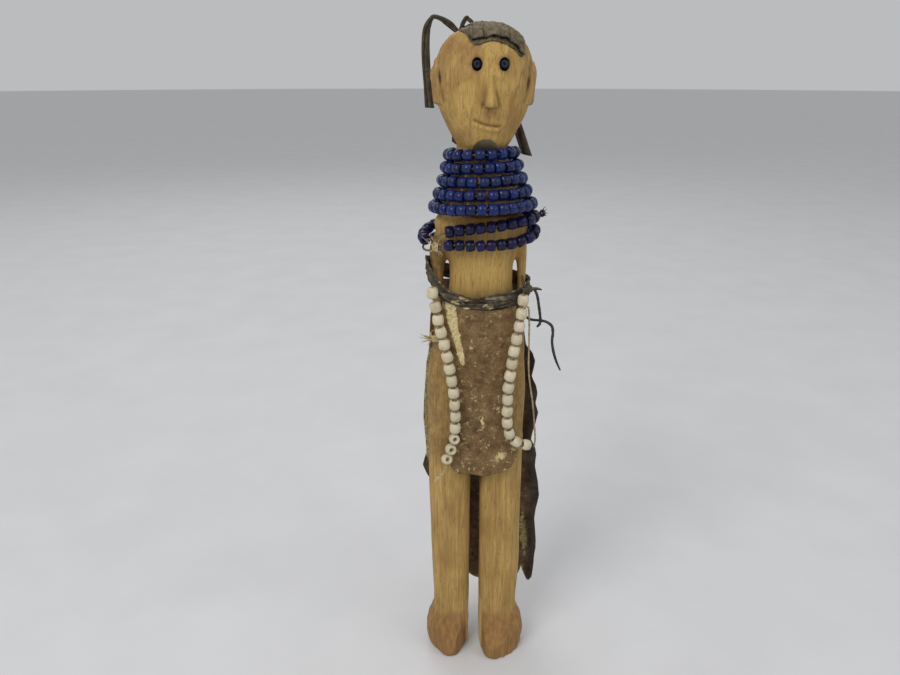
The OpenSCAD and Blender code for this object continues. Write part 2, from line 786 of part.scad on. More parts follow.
// One more bead over each string stays on the belt when the apron swings
belt_bead_spots = [
    [-arm_out + 2.45 - bead_r, -belt_half_d + 2.65 - bead_r, hinge_z + 4.4],
    [arm_out - 5.85 + bead_r, -belt_half_d + 3.65 - bead_r, hinge_z + 0.8]
];
module belt_beads() {
    color([0.88, 0.86, 0.80])
        for (spot = belt_bead_spots)
            translate(spot)
                bead(white_bead_len);
}
module belt_bead_threads() {
    color([0.75, 0.66, 0.48])
        for (spot = belt_bead_spots)
            translate(spot)
                cylinder(d = thread_d, h = white_bead_len + 1.4, center = true, $fn = 16);
}
module apron_thread_left() {
    color([0.75, 0.66, 0.48])
        cord(left_string, thread_d, 6);
}
module apron_thread_right() {
    color([0.75, 0.66, 0.48])
        cord(right_string, thread_d, 6);
}
// Slack thread from the top of the string at +X to its last bead
module apron_side_thread() {
    first = right_string[0];
    last = right_string[len(right_string) - 1];
    clear = bead_r + 0.65;
    color([0.62, 0.52, 0.38])
        cord([
            first + [clear, 0.4, 0.5], first + [clear + 0.2, 0.4, -6],
            first + [clear + 0.4, 0.4, -16], first + [clear + 0.9, 0, -30],
            first + [clear + 3.2, -0.4, -45], last + [clear + 0.3, 0, 5],
            last + [clear + 0.1, 0, -1]
        ], thread_d, 6);
}
module apron_sinew_tail() {
    last = left_string[len(left_string) - 1];
    color([0.80, 0.72, 0.54])
        cord([
            last + [-0.2, 0, -0.55], last + [-1.1, 0.2, -2.8], last + [-4.2, 0.4, -5],
            last + [-6, 0.6, -9]
        ], 0.6, 6);
}

// ---------------------------------------------------------------- back skirt

skirt_y = belt_half_d;
skirt_hinge_z = waist_z;
skirt_top = skirt_hinge_z - 4.2;
skirt_bow = -0.4;
skirt_rows = [
    for (r = [
        [1, -0.08, 0.46, 3.5], [0.97, -0.20, 0.51, 3.5], [0.86, -0.24, 0.49, 3.2],
        [0.74, -0.30, 0.53, 3], [0.62, -0.38, 0.52, 2.4], [0.56, -0.48, 0.51, 2.2],
        [0.48, -0.46, 0.52, 2], [0.33, -0.44, 0.5, 1.6], [0.2, -0.44, 0.43, 1],
        [0.1, -0.40, 0.36, 0.6], [0, -0.34, 0.32, 0.2]
    ]) [skirt_top - r[0] * skirt_len, r[1] * skirt_w, r[2] * skirt_w, skirt_y + r[3]]
];
module back_skirt() {
    color([0.24, 0.18, 0.13])
        sheet(skirt_rows, 14, hide_t, skirt_bow, 0.8);
}
module skirt_hem() {
    top_row = skirt_rows[len(skirt_rows) - 1];
    hem_y = belt_half_d - hem_depth;
    color([0.22, 0.17, 0.12])
        sheet([
            [skirt_top + swing_gap, top_row[1] + 6, top_row[2] - 6, hem_y],
            [skirt_top + 8, top_row[1] + 6, top_row[2] - 6, hem_y]
        ], 8, hem_t, -hem_bow);
}

// ---------------------------------------------------------------- thongs

// Each comes out of the knot at +X
thong_start = loop_point(330, belt_half_w, belt_half_d, below(waist_z, belt_drop)) + [3.8, -2.4, 0.6];
module thong_hooked() {
    color([0.16, 0.14, 0.12])
        cord([for (step = [
            [0, 0, 0], [0.9, -0.4, -1.2], [1.7, -0.6, -3.6], [2.4, -0.6, -7.4],
            [3, -0.6, -11], [3.4, -0.6, -14.4], [3, -0.6, -16.2], [1.8, -0.8, -17.4]
        ]) thong_start + step], thong_d, 8);
}
module thong_bent() {
    color([0.12, 0.10, 0.09])
        cord([for (step = [
            [-3.6, 1.5, -6.4], [-3.8, 1.2, -10], [-3, 1, -13], [-0.6, 0.8, -14.4],
            [3, 0.8, -14.8], [6.2, 0.6, -15.4], [8.8, 0.4, -17.4], [9.4, 0.2, -20.6],
            [9.2, 0.2, -24.6], [10, 0, -29.4], [11.6, 0, -34.4], [13.6, 0, -38.8]
        ]) thong_start + step], thong_d, 8, [1, 1, 0]);
}

carved_body();
eye_beads();
hair_crest();
hair_underlayer();
hair_loop();
hair_strap();
hair_tail_left();
hair_tail_right();
neck_beads(0);  // neck_beads_1
neck_beads(1);  // neck_beads_2
neck_beads(2);  // neck_beads_3
neck_beads(3);  // neck_beads_4
neck_beads(4);  // neck_beads_5
neck_thread(0);  // neck_thread_1
neck_thread(1);  // neck_thread_2
neck_thread(2);  // neck_thread_3
neck_thread(3);  // neck_thread_4
neck_thread(4);  // neck_thread_5
chest_beads_upper();
chest_beads_lower();
chest_thread(shoulder_z, upper_drop);  // chest_thread_upper
chest_thread(lower_turn_z, lower_drop);  // chest_thread_lower
chest_knot_left();
chest_knot_right();
belt_upper_strip();
belt_lower_strip();
belt_knot();
arm_binding();
apron_hem();
apron();
apron_beads_left();
apron_beads_right();
apron_thread_left();
apron_thread_right();
apron_side_thread();
apron_sinew_tail();
belt_beads();
belt_bead_threads();
skirt_hem();
back_skirt();
thong_hooked();
thong_bent();
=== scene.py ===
import math
import random

import bpy
import bmesh
import numpy as np
from mathutils import Euler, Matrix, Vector, noise
from mathutils.bvhtree import BVHTree


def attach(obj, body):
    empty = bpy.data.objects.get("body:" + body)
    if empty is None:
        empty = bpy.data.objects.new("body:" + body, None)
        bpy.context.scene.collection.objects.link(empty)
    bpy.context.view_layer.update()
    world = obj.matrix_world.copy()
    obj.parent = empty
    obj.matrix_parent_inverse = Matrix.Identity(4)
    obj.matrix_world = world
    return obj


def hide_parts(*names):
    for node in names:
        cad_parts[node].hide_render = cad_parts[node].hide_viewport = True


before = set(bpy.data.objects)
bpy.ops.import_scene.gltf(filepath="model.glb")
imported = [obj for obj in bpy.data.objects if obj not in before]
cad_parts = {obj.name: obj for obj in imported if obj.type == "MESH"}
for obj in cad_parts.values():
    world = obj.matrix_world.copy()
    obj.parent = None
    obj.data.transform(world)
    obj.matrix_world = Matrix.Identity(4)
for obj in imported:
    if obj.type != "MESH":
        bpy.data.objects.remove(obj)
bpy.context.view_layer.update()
MM = 0.001
chance = random.Random(7)

# ---------------------------------------------------------------------------
# The room: a pale table top, and soft light from the upper left, from the
# right and from behind. The camera looks a little down on the doll.
room = bpy.context.scene
room.view_settings.view_transform = "Standard"


def deselect():
    if bpy.context.object and bpy.context.object.mode != "OBJECT":
        bpy.ops.object.mode_set(mode="OBJECT")
    bpy.ops.object.select_all(action="DESELECT")


class Finish:
    """A material built up from patterns in the piece's own coordinates."""

    def __init__(self, name, roughness, **sockets):
        self.mat = bpy.data.materials.new(name)
        self.mat.use_nodes = True
        self.nodes = self.mat.node_tree.nodes
        self.link = self.mat.node_tree.links.new
        self.shader = self.nodes["Principled BSDF"]
        self.shader.inputs["Roughness"].default_value = roughness
        for socket, value in sockets.items():
            self.shader.inputs[socket.replace("_", " ")].default_value = value
        self.place = self.nodes.new("ShaderNodeTexCoord").outputs["Object"]

    def fill(self, socket, value):
        if isinstance(value, bpy.types.NodeSocket):
            self.link(value, socket)
        elif isinstance(value, tuple):
            socket.default_value = (*value, 1) if len(value) == 3 else value
        else:
            socket.default_value = value

    def along(self, stretch):
        node = self.nodes.new("ShaderNodeMapping")
        node.inputs["Scale"].default_value = stretch
        self.link(self.place, node.inputs["Vector"])
        return node.outputs["Vector"]

    def cloud(self, size, stretch=(1, 1, 1), detail=5, rough=0.55, warp=0):
        """Soft patches about size millimetres across."""
        node = self.nodes.new("ShaderNodeTexNoise")
        self.link(self.along(stretch), node.inputs["Vector"])
        node.inputs["Scale"].default_value = 1000 / size
        node.inputs["Detail"].default_value = detail
        node.inputs["Roughness"].default_value = rough
        node.inputs["Distortion"].default_value = warp
        return node.outputs["Fac"]

    def cells(self, size, stretch=(1, 1, 1), feature="F1"):
        """How far a place is from the middle of its cell, or from the cell's edge."""
        node = self.nodes.new("ShaderNodeTexVoronoi")
        node.feature = feature
        self.link(self.along(stretch), node.inputs["Vector"])
        node.inputs["Scale"].default_value = 1000 / size
        return node.outputs["Distance"]

    def ramp(self, value, *stops):
        """Turns a value into a grey or a colour by (value, grey or colour) stops."""
        node = self.nodes.new("ShaderNodeValToRGB")
        stop = node.color_ramp.elements
        while len(stop) < len(stops):
            stop.new(0.5)
        for element, (at, tone) in zip(stop, stops):
            element.position = at
            element.color = (tone,) * 3 + (1,) if isinstance(tone, (int, float)) else (*tone, 1)
        self.link(value, node.inputs["Fac"])
        return node.outputs["Color"]

    def mix(self, share, first, second):
        node = self.nodes.new("ShaderNodeMix")
        node.data_type = "RGBA"
        for socket, value in zip((node.inputs[0], node.inputs[6], node.inputs[7]), (share, first, second)):
            self.fill(socket, value)
        return node.outputs[2]

    def sum(self, how, first, second):
        node = self.nodes.new("ShaderNodeMath")
        node.operation = how
        self.fill(node.inputs[0], first)
        self.fill(node.inputs[1], second)
        return node.outputs[0]

    def painted(self, name):
        """What was brushed onto the mesh's points under that name."""
        node = self.nodes.new("ShaderNodeAttribute")
        node.attribute_name = name
        return node.outputs["Fac"]

    def colour(self, value):
        self.fill(self.shader.inputs["Base Color"], value)

    def relief(self, height, depth, strength=1):
        """Adds bumps up to depth millimetres deep to those already there."""
        node = self.nodes.new("ShaderNodeBump")
        node.inputs["Strength"].default_value = strength
        node.inputs["Distance"].default_value = depth * MM
        self.link(height, node.inputs["Height"])
        before = self.shader.inputs["Normal"].links
        if before:
            self.link(before[0].from_socket, node.inputs["Normal"])
        self.link(node.outputs["Normal"], self.shader.inputs["Normal"])

    def sheen(self, value):
        self.fill(self.shader.inputs["Roughness"], value)


table_finish = Finish("table_top", 0.55)
table_finish.colour(table_finish.ramp(table_finish.cloud(60), (0.3, (0.64, 0.64, 0.645)),
                                      (0.7, (0.68, 0.68, 0.685))))

TABLE_REACH = 14
TABLE_DROP = 0.0004
deselect()
bpy.ops.mesh.primitive_circle_add(vertices=96, radius=TABLE_REACH, fill_type="NGON",
                                  location=(0, 0, -TABLE_DROP))
table = bpy.context.object
table.name = "table"
table.data.materials.append(table_finish.mat)

air = bpy.data.worlds.new("air")
air.use_nodes = True
air.node_tree.nodes["Background"].inputs["Color"].default_value = (0.80, 0.81, 0.83, 1)
air.node_tree.nodes["Background"].inputs["Strength"].default_value = 0.62
room.world = air

DOLL_MIDDLE = Vector((0, 0, 0.16))


def soft_light(name, place, size, watts):
    """A square lamp turned to the doll's middle, in metres and watts."""
    lamp = bpy.data.lights.new(name, "AREA")
    lamp.size = size
    lamp.energy = watts
    lamp_object = bpy.data.objects.new(name, lamp)
    lamp_object.location = place
    aim = DOLL_MIDDLE - Vector(place)
    lamp_object.rotation_euler = aim.to_track_quat("-Z", "Y").to_euler()
    room.collection.objects.link(lamp_object)


soft_light("window", (-0.75, -0.95, 1.25), 0.7, 11)
soft_light("lamp_right", (1.0, -0.5, 0.9), 0.8, 3)
soft_light("lamp_behind", (-0.3, 1.2, 1.3), 0.9, 4.5)

view = bpy.data.cameras.new("camera")
view.sensor_width = 36
view.lens = 29.2
camera = bpy.data.objects.new("camera", view)
camera.location = (-0.014, -0.322, 0.292)
camera.rotation_euler = (math.radians(70), 0, 0)
room.collection.objects.link(camera)
room.camera = camera

# ---------------------------------------------------------------------------
# Two loose thongs, cut thin from black hide, that come out of the belt's knot.
# The longer one bends out behind the beads, and the short one hooks round it.


def smooth_path(points, per_span=6):
    """Points along one soft bend through the given ones."""
    points = [Vector(point) for point in points]
    points = [2 * points[0] - points[1], *points, 2 * points[-1] - points[-2]]
    path = []
    for a, b, c, d in zip(points, points[1:], points[2:], points[3:]):
        for k in range(per_span):
            t = k / per_span
            path.append(0.5 * (2 * b + (c - a) * t + (2 * a - 5 * b + 4 * c - d) * t ** 2
                               + (3 * b - a - 3 * c + d) * t ** 3))
    return path + [points[-2]]


def take(piece):
    """Selects this piece alone, for the operators that follow."""
    deselect()
    piece.select_set(True)
    bpy.context.view_layer.objects.active = piece


def lay_string(name, path, width, finish, uneven=0.0, ends=1.0, as_curve=False):
    """A round string along a path in millimetres, thicker and thinner by chance."""
    line = bpy.data.curves.new(name, "CURVE")
    line.dimensions = "3D"
    line.bevel_depth = width / 2 * MM
    line.bevel_resolution = 2
    line.use_fill_caps = True
    spline = line.splines.new("POLY")
    spline.points.add(len(path) - 1)
    for k, (point, place) in enumerate(zip(spline.points, path)):
        point.co = (*(Vector(place) * MM), 1)
        near_end = min(1, (len(path) - 1 - k) / 5)
        point.radius = (1 + chance.uniform(-uneven, uneven)) * (ends + (1 - ends) * near_end)
    piece = bpy.data.objects.new(name, line)
    room.collection.objects.link(piece)
    line.materials.append(finish.mat)
    if as_curve:
        return piece
    take(piece)
    bpy.ops.object.convert(target="MESH")
    bpy.ops.object.shade_smooth()
    return bpy.context.object


def stands_for(piece, body, node):
    """The piece moves with its body and takes the place of the plain node."""
    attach(piece, body)
    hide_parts(node)


thong_finish = Finish("black_thong", 0.55)
thong_finish.colour(thong_finish.ramp(thong_finish.cloud(2.5, (1, 1, 0.4)),
                                      (0.35, (0.012, 0.010, 0.010)), (0.7, (0.045, 0.036, 0.030))))
thong_finish.relief(thong_finish.cloud(0.5, (1, 1, 0.5)), 0.2)

THONG_WIDTH = 1.3
THONG_ROOT = Vector((23.22, -10.65, 201.4))
hooked_route = [THONG_ROOT + Vector(step) for step in (
    (0, 0, 0), (0.9, -0.4, -1.2), (1.7, -0.6, -3.6), (2.4, -0.6, -7.4), (3, -0.6, -11),
    (3.4, -0.6, -14.4), (3, -0.6, -16.2), (1.8, -0.8, -17.4))]
bent_route = [THONG_ROOT + Vector(step) for step in (
    (-3.6, 1.5, -6.4), (-3.8, 1.2, -10), (-3, 1, -13), (-0.6, 0.8, -14.4), (3, 0.8, -14.8),
    (6.2, 0.6, -15.4), (8.8, 0.4, -17.4), (9.4, 0.2, -20.6), (9.2, 0.2, -24.6),
    (10, 0, -29.4), (11.6, 0, -34.4), (13.6, 0, -38.8))]

thong_bent = lay_string("long_thong", smooth_path(bent_route, 3), THONG_WIDTH, thong_finish, 0.1, 0.6, True)
stands_for(thong_bent, "doll", "thong_bent")
thong_hooked = lay_string("short_thong", smooth_path(hooked_route, 4), THONG_WIDTH, thong_finish, 0.14, 0.7)
stands_for(thong_hooked, "doll", "thong_hooked")

# ---------------------------------------------------------------------------
# The doll itself, whittled from one stick of pale wood: long knife facets on
# the head, a thin nose, a cut mouth, ears, a saw cut between the legs.


def points_of(mesh):
    flat = np.empty(len(mesh.vertices) * 3)
    mesh.vertices.foreach_get("co", flat)
    return flat.reshape(-1, 3) / MM


def normals_of(mesh):
    flat = np.empty(len(mesh.vertices) * 3)
    mesh.vertex_normals.foreach_get("vector", flat)
    return flat.reshape(-1, 3)


def move_points(mesh, places):
    mesh.vertices.foreach_set("co", (np.asarray(places) * MM).ravel())
    mesh.update()


def brush(mesh, name, shares):
    """Brushes a share from 0 to 1 onto every point."""
    layer = mesh.attributes.new(name, "FLOAT", "POINT")
    layer.data.foreach_set("value", np.clip(shares, 0, 1).astype(np.float32))


def fade(value, start, end):
    """0 up to start and 1 from end on, with a soft step between."""
    t = np.clip((value - start) / (end - start), 0, 1)
    return t * t * (3 - 2 * t)


def bell(value, width):
    return np.exp(-(value / width) ** 2)


def follow(value, line):
    """Where a line of points has got to at that value."""
    return np.interp(value, *zip(*line))


def soft_noise(places, size, seed=0.0):
    """Smooth chance values from about -1 to 1, with lumps of the given sizes."""
    scaled = places / np.asarray(size)
    return np.array([noise.noise(Vector(p) + Vector((seed, seed, seed))) for p in scaled])


def facets(across, up, wide, tall, seed):
    """Shallow scoops, as a knife leaves: 0 in a scoop's middle, 1 on a ridge."""
    u, v = across / wide, up / tall
    column, row = np.floor(u), np.floor(v)
    first = np.full(len(u), 9.0)
    second = np.full(len(u), 9.0)
    for i in (-1, 0, 1):
        for j in (-1, 0, 1):
            a, b = column + i, row + j
            jump = np.sin(a * 127.1 + b * 311.7 + seed * 74.7) * 43758.5453
            shift = np.sin(a * 269.5 + b * 183.3 + seed * 19.1) * 43758.5453
            away = np.hypot(a + jump % 1 - u, b + shift % 1 - v)
            second = np.where(away < first, first, np.minimum(second, away))
            first = np.minimum(first, away)
    return 1 - np.clip(second - first, 0, 0.5) * 2


def copy_of_node(name, node):
    """A CAD node's shape as a closed mesh of its own."""
    piece = bpy.data.objects.new(name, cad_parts[node].data.copy())
    room.collection.objects.link(piece)
    piece.data.materials.clear()
    take(piece)
    bpy.ops.object.mode_set(mode="EDIT")
    bpy.ops.mesh.select_all(action="SELECT")
    bpy.ops.mesh.remove_doubles(threshold=0.00002)
    bpy.ops.object.mode_set(mode="OBJECT")
    return piece


def apply_modifier(piece, kind, **settings):
    take(piece)
    modifier = piece.modifiers.new("step", kind)
    for key, value in settings.items():
        setattr(modifier, key, value)
    bpy.ops.object.modifier_apply(modifier=modifier.name)


def eye_rod(eye, width, length, middle_y, sides):
    """A rod that lies front to back through an eye's place."""
    deselect()
    bpy.ops.mesh.primitive_cylinder_add(vertices=sides, radius=width / 2 * MM, depth=length * MM,
                                        location=(eye[0] * MM, middle_y * MM, eye[1] * MM),
                                        rotation=(math.radians(90), 0, 0))
    return bpy.context.object


EYES = ((-3.4, 294.8), (7.4, 294.8))
SOCKET_WIDTH = 4.4
SOCKET_WIDE, SOCKET_HIGH = 0.9, 1.12
FINE_VOXEL = 0.9
LEG_MIDDLE = -1.4
HEAD_REACH = 19

# the plain node's round sockets are filled, so that its surface can be redone
body = copy_of_node("carved_wood", "carved_body")
plugs = [eye_rod(eye, 6, 16, -8.6, 24) for eye in EYES]
take(body)
for plug in plugs:
    plug.select_set(True)
bpy.ops.object.join()
apply_modifier(body, "REMESH", mode="VOXEL", voxel_size=FINE_VOXEL * MM)
apply_modifier(body, "SMOOTH", factor=0.5, iterations=7)

# the face, the ears and the toes get finer faces for their cuts
take(body)
bpy.ops.object.mode_set(mode="EDIT")
bpy.ops.mesh.select_all(action="DESELECT")
worked = bmesh.from_edit_mesh(body.data)
for face in worked.faces:
    spot = face.calc_center_median() / MM
    face.select = (spot.z > 260 and spot.y < 6) or (spot.z < 20 and spot.y < -9)
bmesh.update_edit_mesh(body.data)
bpy.ops.mesh.subdivide(number_cuts=1, quadcorner="INNERVERT")
bpy.ops.object.mode_set(mode="OBJECT")

places = points_of(body.data)
ways = normals_of(body.data)
x, y, z = places.T

# toes rounded in plan: the right foot is longer and comes to a point
LEFT_TOES = ((-28, 0), (-26, -3), (-23.2, -7), (-19.3, -11.9), (-15.6, -15.8), (-11.6, -15.9), (-8.2, -10.6),
             (-5.8, -5.5), (-3.5, -2))
RIGHT_TOES = ((0.5, -5), (3, -9), (4, -13), (5.2, -16.2), (7, -18.4), (10.6, -17.4), (14.6, -15.8),
              (18.8, -12.8), (23.4, -7.2), (26, -2))
toe_line = np.where(x > LEG_MIDDLE, follow(x, RIGHT_TOES) + 0.5 * np.abs(np.sin((x + 1.5) * 0.8)),
                    follow(x, LEFT_TOES) + 0.4 * np.abs(np.sin(x * 0.72)))
toes = fade(z, 20, 9) * (y < 0)
y = y + toes * (np.maximum(y, toe_line) - y)
outer = np.where(x > LEG_MIDDLE, fade(x, 8, 22), -fade(x, -10, -24))
x = x + outer * (1.0 * bell(z - 13, 6.5) - 0.9 * bell(z - 30, 13))
places[:, 0], places[:, 1] = x, y


def under_chin(x, y, z, inside):
    """The round patch of end grain under the chin."""
    return fade(np.hypot((x - 0.8) / 5.8, (z - 260.4) / 5.9), 1.0, inside) * (y < -5)


def head_scoops(x, y, z):
    return facets(np.arctan2(x, -y) * HEAD_REACH, z, 4.6, 17, 3)


# flat end grain left under the chin
CHIN_WAY = np.array((0, -0.746, -0.665))
CHIN_SPOT = np.array((0, -13.9, 266))
chin = under_chin(x, y, z, 0.93)
places -= (chin * ((places - CHIN_SPOT) @ CHIN_WAY))[:, None] * CHIN_WAY
x, y, z = places.T
front = fade(y, -4, -9)

# the knife's scoops: short on the head, long on the body, small on the feet
head = fade(z, 258, 264)
push = head * 0.62 * (head_scoops(x, y, z) - 0.5)
push += head * 0.16 * soft_noise(places, (3, 3, 9), 4)
below = 1 - head
push += below * 0.26 * (facets(x + 0.7 * y, z, 5.5, 46, 8) - 0.5)
push += below * 0.14 * soft_noise(places, (4, 4, 22), 9)
feet = fade(z, 26, 18)
push += feet * 0.34 * (facets(x + 0.5 * y, z - 0.6 * x, 4.6, 9, 5) - 0.5)

NOSE_TOP, NOSE_FOOT = 292.5, 279
NOSTRILS = 278.4
EARS = ((-1, 297.5, 279.5, 290), (1, 296, 279, 287.6))


def round_nose(x, z):
    """The share of the way down the nose, the way off its ridge, and its half width there."""
    down = np.clip((NOSE_TOP - z) / (NOSE_TOP - NOSE_FOOT), 0, 1)
    return down, np.abs(x - 2.1 - 0.3 * down), 0.9 + 2.0 * down ** 1.4


def mouth_line(x):
    return 271.7 - 0.24 * (x - 0.8) + 0.025 * (x - 0.8) ** 2


def ear_line(z, top, foot):
    return 18.4 - 2.4 * ((top - z) / (top - foot)) ** 2


# nose: a thin wedge that widens down to the nostrils, with a cut on each side
down, off, half = round_nose(x, z)
on_nose = fade(z, 278.2, 279.4) * fade(z, 294, 291) * front
wedge = np.clip(1 - off / half, 0, 1)
push += on_nose * (0.5 + 1.3 * down) * np.minimum(wedge * 1.15, 1)
push -= on_nose * (0.3 + 0.6 * down) * bell(off - half - 0.35, 0.7)
push -= front * 0.6 * bell(z - NOSTRILS, 0.7) * fade(off, 4.6, 3)
# brow: two slight hollows round the eyes
for eye_x, eye_z in EYES:
    push -= front * 0.5 * bell(x - eye_x, 3.6) * bell(z - eye_z, 3.2)
# mouth: one cut that droops to the right, over a slightly proud lip
mouth = fade(x, -5.6, -3.6) * fade(x, 7.6, 5.4) * front
for amount, above, width in ((-0.85, 0, 0.5), (0.45, -1.5, 0.9), (0.25, 1.7, 1.2)):
    push += mouth * amount * bell(z - mouth_line(x) - above, width)
# ears: a proud rim behind a long cut, and a slot in the cut
facing = fade(y, 3, 0)
for side, ear_top, ear_foot, slot_z in EARS:
    past_cut = side * x - ear_line(z, ear_top, ear_foot)
    span = fade(z, ear_foot - 0.6, ear_foot + 1) * fade(z, ear_top + 0.6, ear_top - 1)
    push -= span * facing * 0.95 * bell(past_cut, 0.55)
    push += span * fade(past_cut, 0.3, 1.2) * fade(y, 7, 4) * 0.9
    push -= 1.6 * facing * bell(past_cut - 0.2, 0.6) * bell(z - slot_z, 2.6)
# the bound arm's lumpy upper end
lump = fade(x, -14.5, -16.5) * fade(z, 207, 212) * fade(z, 226, 222)
push += lump * (0.5 + 0.9 * soft_noise(places, (2.6, 2.6, 3.2), 2))
push *= 1 - chin
places += ways * push[:, None]
# the soles are pressed flat on the table
z = places[:, 2]
places[:, 2] = np.where(z < 1.2, np.maximum(z, 0) * 0.5, z)
move_points(body.data, places)

# the eye sockets are cut straight in, taller than wide
for eye in EYES:
    drill = eye_rod(eye, SOCKET_WIDTH, 12, -20.2, 28)
    bpy.ops.object.mode_set(mode="EDIT")
    bpy.ops.mesh.select_all(action="SELECT")
    bpy.ops.transform.resize(value=(SOCKET_WIDE, 1, SOCKET_HIGH))
    bpy.ops.mesh.subdivide(number_cuts=1)
    bpy.ops.object.mode_set(mode="OBJECT")
    apply_modifier(body, "BOOLEAN", operation="DIFFERENCE", object=drill, solver="EXACT")
    bpy.data.objects.remove(drill)

# painted shade darkens every cut: the ears, the mouth, round the nose, and a ring round each socket; the
# socket walls are burnt dark, and a real nick sits left of each eye
places = points_of(body.data)
x, y, z = places.T
SOCKET_HALF = SOCKET_WIDTH / 2
dark = 0.55 * fade(x, -5.4, -3.4) * fade(x, 7.4, 5.4) * (y < -9) * bell(z - mouth_line(x), 0.35)
for eye_x, eye_z in EYES:
    away = np.hypot((x - eye_x) * 1.1, (z - eye_z) * 0.9)
    rim = fade(away, SOCKET_HALF + 0.3, SOCKET_HALF - 0.1) + 0.35 * fade(away, 3.9, 2)
    nick = 0.7 * bell(x - eye_x + 1.6, 1.5) * bell(z - eye_z, 0.6)
    dark = np.maximum(dark, (y < 0) * np.maximum(rim, nick))
for side, _, _, slot_z in EARS:
    past_cut = side * x - ear_line(z, 297, 279)
    long_cut = 0.35 * bell(past_cut - 0.1, 0.5) * fade(z, 279.5, 281) * fade(z, 298, 296)
    dark = np.maximum(dark, (y < 1) * (long_cut + bell(past_cut - 0.2, 0.6) * bell(z - slot_z, 2.2)))
_, off, half = round_nose(x, z)
nose_cut = bell(off - half - 0.35, 0.4) * fade(z, 277.8, 279) * fade(z, 289, 283)
nose_cut = np.maximum(nose_cut, bell(z - NOSTRILS, 0.4) * fade(off - half, 0.6, -0.4)) * (y < -12)
brush(body.data, "dark", np.maximum(dark, 0.38 * nose_cut))

# rubbed ridges, greyer end grain with painted shade under the chin, the red of handling and of the feet, and
# darker patches on the bound arm and round the hips
ridges = fade(z, 260, 264) * fade(head_scoops(x, y, z), 0.72, 1.0)
brush(body.data, "ridge", ridges * (0.5 + soft_noise(places, (6, 6, 9), 13)))
# the patch under the chin: greyer end grain, darkened with painted shade where it faces down
brush(body.data, "end_grain_and_shade", under_chin(x, y, z, 0.94))
brush(body.data, "saw_cut", (z < 30) * fade(np.abs(x - LEG_MIDDLE), 4.6, 3.6))
redness = 0.9 * fade(z, 26, 22) + 0.45 * fade(x, -16.5, -18) * (z > 165) * (z < 210)
redness += 0.5 * fade(z, 258, 266) * fade(soft_noise(places, (8, 8, 12), 7), -0.05, 0.35)
redness += 0.7 * bell(x + 10, 6) * bell(z - 301, 3.4) + 0.4 * bell(x - 2, 5) * bell(z - 275, 3)
brush(body.data, "red", redness)
# darker on the top of the bound arm, in a band on the arm just below its binding, and round the hips below
# the belt
darkened = 0.8 * fade(x, -14.5, -17) * fade(z, 205, 213) * fade(z, 228, 222)
darkened = np.maximum(darkened, 0.7 * fade(x, -17, -19) * bell(z - 171, 3))
darkened = np.maximum(darkened, 0.55 * fade(z, 202, 198) * fade(z, 110, 122) * (np.abs(y) < 14))
brush(body.data, "darkened", darkened)
brush(body.data, "pale", 0.42 * fade(z, 190, 206) * (y < 4) * fade(np.abs(x), 17, 8))

wood = Finish("whittled_wood", 0.68, Specular_IOR_Level=0.32)
streaks = wood.cloud(1.3, (1, 1, 0.045), detail=7, rough=0.62, warp=0.25)
fine = wood.cloud(0.42, (1, 1, 0.05), detail=4, rough=0.7)
patches = wood.cloud(9, (1, 1, 0.4), detail=4, rough=0.6)
nicks = wood.cells(2.6, (1, 1, 0.22))
tone = wood.ramp(streaks, (0.28, (0.27, 0.155, 0.042)), (0.46, (0.41, 0.26, 0.078)),
                 (0.62, (0.50, 0.325, 0.108)), (0.80, (0.55, 0.38, 0.145)))
tone = wood.mix(wood.ramp(patches, (0.42, 0.0), (0.66, 0.75)), tone, (0.30, 0.175, 0.052))
tone = wood.mix(wood.painted("pale"), tone, (0.66, 0.43, 0.125))
tone = wood.mix(wood.ramp(fine, (0.36, 0.65), (0.48, 0.0)), tone, (0.19, 0.10, 0.028))
tone = wood.mix(wood.ramp(nicks, (0.03, 0.75), (0.10, 0.0)), tone, (0.16, 0.075, 0.03))
tone = wood.mix(wood.painted("red"), tone, wood.mix(wood.ramp(streaks, (0.3, 0.0), (0.7, 1.0)),
                                                    (0.20, 0.098, 0.030), (0.35, 0.19, 0.066)))
tone = wood.mix(wood.sum("MULTIPLY", wood.painted("ridge"), 0.6), tone, (0.24, 0.125, 0.045))
tone = wood.mix(wood.painted("saw_cut"), tone, (0.50, 0.36, 0.15))
# end grain under the chin: greyer wood, darkened with painted shade
tone = wood.mix(wood.painted("end_grain_and_shade"), tone,
                wood.mix(patches, (0.17, 0.135, 0.072), (0.24, 0.19, 0.105)))
# those darker places, made blotchy
darkened_share = wood.sum("MULTIPLY", wood.painted("darkened"),
                wood.ramp(wood.cloud(3.2, detail=6), (0.35, 0.25), (0.62, 1.0)))
tone = wood.mix(darkened_share, tone, (0.15, 0.085, 0.035))
# painted shade in the cuts, with the burnt socket walls and the nicks
tone = wood.mix(wood.painted("dark"), tone, (0.035, 0.014, 0.008))
wood.colour(tone)
wood.sheen(wood.ramp(streaks, (0.3, 0.78), (0.75, 0.58)))
wood.relief(streaks, 0.22, 0.8)
wood.relief(fine, 0.10, 0.7)
wood.relief(wood.ramp(nicks, (0.02, 0.0), (0.10, 1.0)), 0.25, 0.8)

body.data.materials.clear()
body.data.materials.append(wood.mat)
take(body)
bpy.ops.object.shade_smooth()
stands_for(body, "doll", "carved_body")

# ---------------------------------------------------------------------------
# Two dark blue glass beads, pressed into the sockets with their holes to the
# front. Each is a squat wound bead with a dimple at its hole.


